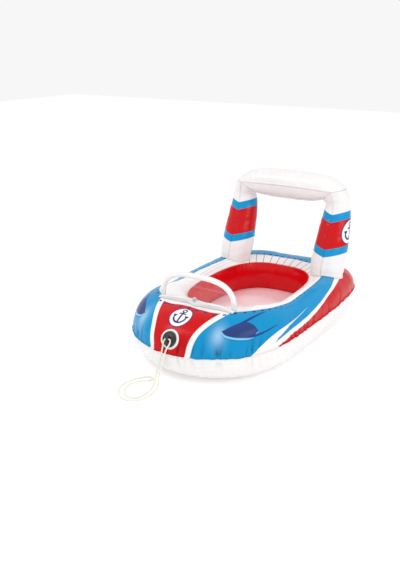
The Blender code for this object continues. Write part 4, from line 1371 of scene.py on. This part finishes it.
def milky_film():
    finish = Finish("milky_bar_film", specular_ior_level=0.5, coat_weight=0.4, coat_roughness=0.06)
    y = finish.place()[1]
    tone = finish.noise(22.0, detail=3.0, stretch=(0.3, 1.0, 1.0))
    front_line = abs(y - BAR_FRONT - BAR_WAIST - 0.0025).under(0.0007, 0.0004)
    back_line = abs(y - BAR_BACK + 0.0028).under(0.0006, 0.0004)
    line = front_line.most(back_line)
    colour = finish.paint((0.94, 0.92, 0.91), tone.over(0.5, 0.25), (0.98, 0.97, 0.96))
    finish.set(base_color=finish.paint(colour, line * 0.55, (0.50, 0.50, 0.52)))
    finish.set(roughness=0.18 + 0.12 * tone, alpha=0.62 + 0.18 * tone + 0.2 * line)
    finish.bump(finish.noise(300.0, detail=1.0), 0.00015, 0.3)
    finish.material.surface_render_method = "BLENDED"
    return finish


# ---------------------------------------------------------------- tow disc and rope

def facing(point, normal, sideways):
    """A frame at the point with +Z along the normal and +X sideways."""
    z = Vector(normal).normalized()
    x = (Vector(sideways) - z * Vector(sideways).dot(z)).normalized()
    y = z.cross(x)
    matrix = Matrix((x, y, z)).transposed().to_4x4()
    matrix.translation = point
    return matrix


def disc_frame(tree):
    normal = Vector((0, -math.cos(DISC_TILT), math.sin(DISC_TILT)))
    start = Vector((0, -0.560, DISC_HEIGHT + 0.060 * math.tan(DISC_TILT)))
    return facing(drop_on(tree, start, -normal), normal, (1, 0, 0))


def moulded_disc(tree, part_frame, finish):
    """A domed disc with a groove round it, bent over the bow."""
    r = DISC_RADIUS
    profile = (
        (0.0, 0.0052), (0.12, 0.00518), (0.25, 0.00512), (0.40, 0.0049), (0.52, 0.0046),
        (0.62, 0.0042), (0.70, 0.0035), (0.735, 0.0029), (0.76, 0.0026), (0.785, 0.0029),
        (0.81, 0.0034), (0.85, 0.0037), (0.90, 0.0036), (0.94, 0.0031), (0.975, 0.0024),
        (0.995, 0.0014), (1.0, 0.0004), (0.96, -0.0002),
    )
    count = 96
    normal = (part_frame.to_3x3() @ Vector((0, 0, 1))).normalized()
    inverse = part_frame.inverted()
    rows = []
    for k in range(count):
        angle = 2 * math.pi * k / count
        row = []
        for share, height in profile:
            flat = (share * r * math.cos(angle), share * r * math.sin(angle))
            start = part_frame @ Vector((*flat, 0.06))
            base = (inverse @ drop_on(tree, start, -normal)).z + LAY_GAP
            row.append(part_frame @ Vector((*flat, base + height)))
        rows.append(row)
    return film("tow_disc_moulding", np.array(rows), finish, closed=True, thickness=0.0,
                fields={"reach": np.broadcast_to([share for share, _ in profile], (count, len(profile)))})


def moulded_lug(part_frame, finish):
    """The eye that stands on the disc, with its corners rounded."""
    centre = LUG_RISE
    foot = centre - 0.0030
    inside = LUG_HOLE
    rows = []
    for turn in np.linspace(0, 2 * math.pi, 72, endpoint=False):
        c = math.cos(turn)
        s = math.sin(turn)
        outer = LUG_RADIUS if s >= 0 else min(LUG_RADIUS / max(abs(c), 1e-6), foot / max(-s, 1e-6))
        row = []
        for bend in np.linspace(0, 2 * math.pi, 29):
            reach = (inside + outer) / 2 - (outer - inside) / 2 * power(math.cos(bend), 0.55)
            thick = LUG_WIDTH / 2 * power(math.sin(bend), 0.55)
            row.append(part_frame @ Vector((thick, c * reach, centre + s * reach)))
        rows.append(row)
    return film("tow_lug", np.array(rows), finish, closed=True, thickness=0.0)


def moulded_vinyl(name, colour):
    """Satin moulded vinyl, paler in worn patches."""
    finish = Finish(name, specular_ior_level=0.5)
    tone = finish.noise(60.0, detail=3.0)
    dust = tuple(c + 0.035 for c in colour)
    finish.set(base_color=finish.paint(colour, tone.over(0.55, 0.2) * 0.6, dust))
    finish.set(roughness=0.30 + 0.22 * tone)
    finish.bump(finish.noise(900.0, detail=1.0), 0.0002, 0.5)
    return finish


def disc_parts(settings, deck):
    part_frame = disc_frame(deck)
    finish = moulded_vinyl("tow_disc_vinyl", tuple(settings.disc)).material
    disc = moulded_disc(deck, part_frame, finish)
    place(disc, "root", "black_vinyl", "tow_disc")
    place(moulded_lug(part_frame, finish), "root", "black_vinyl")


def smooth_route(route, count):
    """Points on one smooth curve through the route's own points, closest at its tight bends."""
    p = [Vector(point) for point in route]
    p = [p[0] * 2 - p[1]] + p + [p[-1] * 2 - p[-2]]
    dense = []
    for a, b, c, d in zip(p, p[1:], p[2:], p[3:]):
        for t in np.linspace(0, 1, 24, endpoint=False):
            t = float(t)
            dense.append(0.5 * (2 * b + (c - a) * t + (2 * a - 5 * b + 4 * c - d) * t ** 2
                                + (3 * b - a - 3 * c + d) * t ** 3))
    dense.append(p[-2])
    return even_points(dense, count, crowding=0.3)


BRAID_STRANDS = 6
BRAID_PITCH = 0.016         # one turn of a strand round the cord


def braided_cord(settings):
    """The rope, with the strands of its braid crossing round it."""
    path = smooth_route(ROPE_ROUTE, 700)
    tangent = np.gradient(path, axis=0)
    tangent /= np.linalg.norm(tangent, axis=1, keepdims=True)
    side = np.array((0.0, 0.0, 1.0))
    side = side - tangent[0] * side.dot(tangent[0])
    run = run_lengths(path[None, :, :], 1)[0]
    turns = np.linspace(0, 2 * math.pi, 25)
    rows = []
    for centre, ahead, at in zip(path, tangent, run):
        side = side - ahead * side.dot(ahead)
        side = side / np.linalg.norm(side)
        other = np.cross(ahead, side)
        twist = 2 * math.pi * at / BRAID_PITCH
        right_lay = np.cos(BRAID_STRANDS / 2 * (turns + twist))
        left_lay = np.cos(BRAID_STRANDS / 2 * (turns - twist))
        over = np.maximum(right_lay, left_lay)
        radius = ROPE_RADIUS - 0.00026 + 0.00026 * over
        outward = side * np.cos(turns)[:, None] + other * np.sin(turns)[:, None]
        rows.append(centre + outward * radius[:, None])
    caps = [np.repeat(path[:1], len(turns), axis=0)], [np.repeat(path[-1:], len(turns), axis=0)]
    points = np.array(caps[0] + rows + caps[1])
    finish = Finish("braided_cord", specular_ior_level=0.3, sheen_weight=0.15)
    tone = finish.noise(240.0, detail=2.0)
    colour = tuple(settings.rope)
    finish.set(base_color=finish.paint(tuple(0.80 * c for c in colour), tone.over(0.42, 0.2), colour))
    finish.set(roughness=0.62 + 0.2 * tone)
    finish.bump(finish.noise(2400.0, detail=1.0), 0.0002, 0.5)
    rope = film("tow_rope_braid", points, finish.material, thickness=0.0)
    place(rope, "root", "rope", "tow_rope")


# ---------------------------------------------------------------- valves

def clear_moulding(name, colour, alpha):
    finish = Finish(name, specular_ior_level=0.6, coat_weight=0.5, coat_roughness=0.05)
    tone = finish.noise(160.0, detail=2.0)
    finish.set(base_color=finish.paint(tuple(0.85 * c for c in colour), tone, colour))
    finish.set(roughness=0.16 + 0.14 * tone, alpha=alpha + 0.1 * tone)
    finish.bump(finish.noise(800.0, detail=1.0), 0.0002, 0.4)
    finish.material.surface_render_method = "BLENDED"
    return finish


def turned_moulding(name, frame_at, profile, finish, shift=0.0, tree=None):
    """A profile of (radius, height) points turned about the frame's Z; bent over a film if given one."""
    count = 72
    normal = (frame_at.to_3x3() @ Vector((0, 0, 1))).normalized()
    inverse = frame_at.inverted()
    rows = []
    for angle in np.linspace(0, 2 * math.pi, count, endpoint=False):
        row = []
        for radius, height in profile:
            x = radius * math.cos(angle) + shift
            y = radius * math.sin(angle)
            base = 0.0
            if tree:
                start = frame_at @ Vector((x, y, 0.02))
                base = (inverse @ drop_on(tree, start, -normal)).z + LAY_GAP
            row.append(frame_at @ Vector((x, y, base + height)))
        rows.append(row)
    return film(name, np.array(rows), finish, closed=True, thickness=0.0, flip=True)


def rounded_strap(name, frame_at, start, end, width, thick, finish):
    """A flat strap along the frame's X, with soft edges and closed ends."""
    rows = []
    for turn in np.linspace(0, math.pi, 17):
        x = (start + end) / 2 - (end - start) / 2 * math.cos(turn)
        full = math.sin(turn) ** 0.3 if 0 < turn < math.pi - 1e-9 else 0.0
        rows.append([frame_at @ Vector((x, width / 2 * full * power(math.cos(bend), 0.6),
                                        thick / 2 * full * power(math.sin(bend), 0.6)))
                     for bend in np.linspace(0, 2 * math.pi, 25)])
    return film(name, np.array(rows), finish, thickness=0.0, flip=True)


def bore(obj, frame_at, radius):
    """Open a round hole through a film along the frame's Z."""
    bm = bmesh.new()
    bm.from_mesh(obj.data)
    inverse = frame_at.inverted()
    centre = frame_at.translation

    def beside(face):
        local = inverse @ face.calc_center_median()
        return local.xy.length < 5 * radius and abs(local.z) < 3 * radius

    faces = [face for face in bm.faces if beside(face)]
    sides = [frame_at.to_3x3() @ Vector((math.cos(angle), math.sin(angle), 0))
             for angle in np.linspace(0, 2 * math.pi, 24, endpoint=False)]
    for side in sides:
        edges = {edge for face in faces for edge in face.edges}
        verts = {vert for face in faces for vert in face.verts}
        cut = bmesh.ops.bisect_plane(bm, geom=faces + list(edges) + list(verts), dist=1e-7,
                                     plane_co=centre + side * radius, plane_no=side)
        faces = [item for item in cut["geom"] if isinstance(item, bmesh.types.BMFace)]
    inside = [face for face in faces
              if all((face.calc_center_median() - centre).dot(side) < radius for side in sides)]
    if not inside:
        raise ValueError("no film under the valve at %s" % (tuple(centre),))
    bmesh.ops.delete(bm, geom=inside, context="FACES")
    bm.to_mesh(obj.data)
    bm.free()


def valve_mouth(word):
    """The frame at the mouth of a closed valve, from its plug's hinge and its tube's slide."""
    hinge = JOINTS["%s_plug_open" % word]
    normal = Vector(JOINTS["%s_valve_pull" % word]["axis"])
    sideways = Vector(hinge["axis"]).cross(normal)
    return facing(Vector(hinge["pos_m"]) - sideways * STRAP_REACH - normal * PLUG_GAP, normal, sideways)


def valve_parts():
    """Bore the films and set each valve in: flange, sliding tube, plug on its strap, check flap."""
    finish = clear_moulding("valve_vinyl", (0.62, 0.64, 0.68), 0.80).material
    for word, flange, carrier in VALVES:
        lift = MOUTH_RISE
        at = valve_mouth(word) @ Matrix.Translation((0, 0, -lift))
        skin = bpy.data.objects[carrier]
        tree = tree_of(skin)
        bore(skin, at, VALVE_BORE + GAP)
        width = flange - VALVE_BORE
        ring = turned_moulding("%s_valve_flange" % word, at, (
            (VALVE_BORE, 0.0002), (VALVE_BORE, 0.0011), (VALVE_BORE + 0.0003, 0.0014),
            (VALVE_BORE + 0.28 * width, 0.0014), (VALVE_BORE + 0.42 * width, 0.0011),
            (VALVE_BORE + 0.55 * width, 0.0012), (VALVE_BORE + 0.78 * width, 0.0011),
            (VALVE_BORE + 0.95 * width, 0.0007), (flange, 0.0003), (VALVE_BORE + 0.93 * width, 0.0),
            (VALVE_BORE + 0.55 * width, 0.0), (VALVE_BORE + 0.0003, 0.0), (VALVE_BORE, 0.0002)),
            finish, tree=tree)
        place(ring, "root", "clear_vinyl", "%s_valve_base" % word)

        foot = lift - STEM_LENGTH
        groove = STEM_OUTER - 0.0003
        tube = turned_moulding("%s_valve_tube" % word, at, (
            (STEM_INNER, lift - 0.0004), (STEM_INNER + 0.0004, lift), (STEM_OUTER - 0.0003, lift),
            (STEM_OUTER, lift - 0.0003), (STEM_OUTER, lift - 0.0012), (groove, lift - 0.0015),
            (groove, lift - 0.0042), (STEM_OUTER, lift - 0.0046), (STEM_OUTER, foot + 0.0004),
            (STEM_OUTER - 0.0003, foot), (STEM_INNER + 0.0003, foot), (STEM_INNER, foot + 0.0003),
            (STEM_INNER, lift - 0.0004)), finish)
        place(tube, "%s_valve_stem" % word, "clear_vinyl", "%s_valve_stem" % word)

        lid = at @ Matrix.Translation((STRAP_REACH, 0, lift + PLUG_GAP))
        spigot = STEM_INNER - GAP
        cap = turned_moulding("%s_valve_cap" % word, lid, (
            (0, 0.0009), (0.0022, 0.0009), (0.0028, 0.0012), (0.0052, 0.0012), (0.0058, 0.0009),
            (PLUG_RADIUS, 0.0003), (PLUG_RADIUS, -0.0002), (0.0057, -0.0006), (spigot, -0.0006),
            (spigot - 0.0002, -0.0016), (0.0032, -0.0034), (0.0029, -0.0041), (0.0025, -0.0042),
            (0, -0.0042)), finish, shift=-STRAP_REACH)
        place(cap, "%s_valve_plug" % word, "clear_vinyl", "%s_valve_plug" % word)
        strap = rounded_strap("%s_valve_strap" % word, lid, -0.0048, 0.0004, 0.0040, 0.0010, finish)
        place(strap, "%s_valve_plug" % word, "clear_vinyl")

        hinge = at @ Matrix.Translation((FLAP_RADIUS, 0, foot - GAP))
        flap = turned_moulding("%s_valve_check_flap" % word, hinge, (
            (0, -0.0001), (0.0036, -0.0001), (0.0043, 0.0), (FLAP_RADIUS, -0.0003), (0.0045, -0.0007),
            (0.0041, -0.0008), (0, -0.0008)), finish, shift=-FLAP_RADIUS)
        place(flap, "%s_valve_flap" % word, "clear_vinyl", "%s_valve_flap" % word)


# ---------------------------------------------------------------- operators and panel

def deck_tree():
    """The deck, which the other pieces are laid on."""
    deck = bpy.data.objects.get("deck_film")
    if deck is None:
        raise RuntimeError("make the hull first: the other pieces are laid on its deck")
    return tree_of(deck)


class BOAT_OT_stage(bpy.types.Operator):
    """Set up the pale floor, the soft lights and the camera"""
    bl_idname = "boat.stage"
    bl_label = "Stage"

    def execute(self, context):
        settings = context.scene.boat_stage
        add_camera()
        add_floor()
        set_daylight(settings.daylight)
        add_lamp("key_lamp", (-1.6, -1.8, 2.9), (0, 0, 0.15), 1.6, settings.key)
        add_lamp("fill_lamp", (2.6, -0.6, 1.9), (0, 0, 0.2), 1.8, settings.key * 0.85)
        return {"FINISHED"}


class BOAT_OT_rope(bpy.types.Operator):
    """Make the braided tow rope"""
    bl_idname = "boat.rope"
    bl_label = "Tow rope"

    def execute(self, context):
        braided_cord(context.scene.boat_fittings)
        return {"FINISHED"}


class BOAT_OT_hull(bpy.types.Operator):
    """Make the printed deck, the lower skin, the red wall and the floor sheet"""
    bl_idname = "boat.hull"
    bl_label = "Hull"

    def execute(self, context):
        hull_parts(context.scene.boat_hull)
        return {"FINISHED"}


class BOAT_OT_arch(bpy.types.Operator):
    """Make the two columns, their foot welds and the crossbar"""
    bl_idname = "boat.arch"
    bl_label = "Rear arch"

    def execute(self, context):
        arch_parts(context.scene.boat_arch, context.scene.boat_hull, deck_tree())
        return {"FINISHED"}


class BOAT_OT_windscreen(bpy.types.Operator):
    """Make the windscreen's pane, rim and base bar"""
    bl_idname = "boat.windscreen"
    bl_label = "Windscreen"

    def execute(self, context):
        windscreen_parts(context.scene.boat_windscreen, context.scene.boat_hull, deck_tree())
        return {"FINISHED"}


class BOAT_OT_tow_disc(bpy.types.Operator):
    """Make the moulded disc and lug at the bow"""
    bl_idname = "boat.tow_disc"
    bl_label = "Tow disc"

    def execute(self, context):
        disc_parts(context.scene.boat_fittings, deck_tree())
        return {"FINISHED"}


class BOAT_OT_valves(bpy.types.Operator):
    """Finish the three inflation valves"""
    bl_idname = "boat.valves"
    bl_label = "Valves"

    def execute(self, context):
        valve_parts()
        return {"FINISHED"}


SETTINGS = {
    "boat_stage": StageSettings,
    "boat_hull": HullSettings,
    "boat_arch": ArchSettings,
    "boat_windscreen": WindscreenSettings,
    "boat_fittings": FittingSettings,
}
STEPS = (
    BOAT_OT_stage, BOAT_OT_rope, BOAT_OT_hull, BOAT_OT_arch, BOAT_OT_windscreen, BOAT_OT_tow_disc,
    BOAT_OT_valves,
)


class BOAT_PT_sidebar(bpy.types.Panel):
    """The boat's settings and the steps that make it"""
    bl_idname = "BOAT_PT_sidebar"
    bl_label = "Inflatable boat"
    bl_space_type = "VIEW_3D"
    bl_region_type = "UI"
    bl_category = "Boat"

    def draw(self, context):
        layout = self.layout
        for word, kind in SETTINGS.items():
            box = layout.box()
            settings = getattr(context.scene, word)
            for name in kind.__annotations__:
                box.prop(settings, name)
        for step in STEPS:
            layout.operator(step.bl_idname)


def register():
    for word, kind in SETTINGS.items():
        bpy.utils.register_class(kind)
        setattr(bpy.types.Scene, word, PointerProperty(type=kind))
    for kind in STEPS + (BOAT_PT_sidebar,):
        bpy.utils.register_class(kind)


def unregister():
    for kind in reversed(STEPS + (BOAT_PT_sidebar,)):
        bpy.utils.unregister_class(kind)
    for word, kind in SETTINGS.items():
        delattr(bpy.types.Scene, word)
        bpy.utils.unregister_class(kind)


def main():
    register()
    for step in STEPS:
        group, name = step.bl_idname.split(".")
        getattr(getattr(bpy.ops, group), name)()


if __name__ == "__main__":
    main()
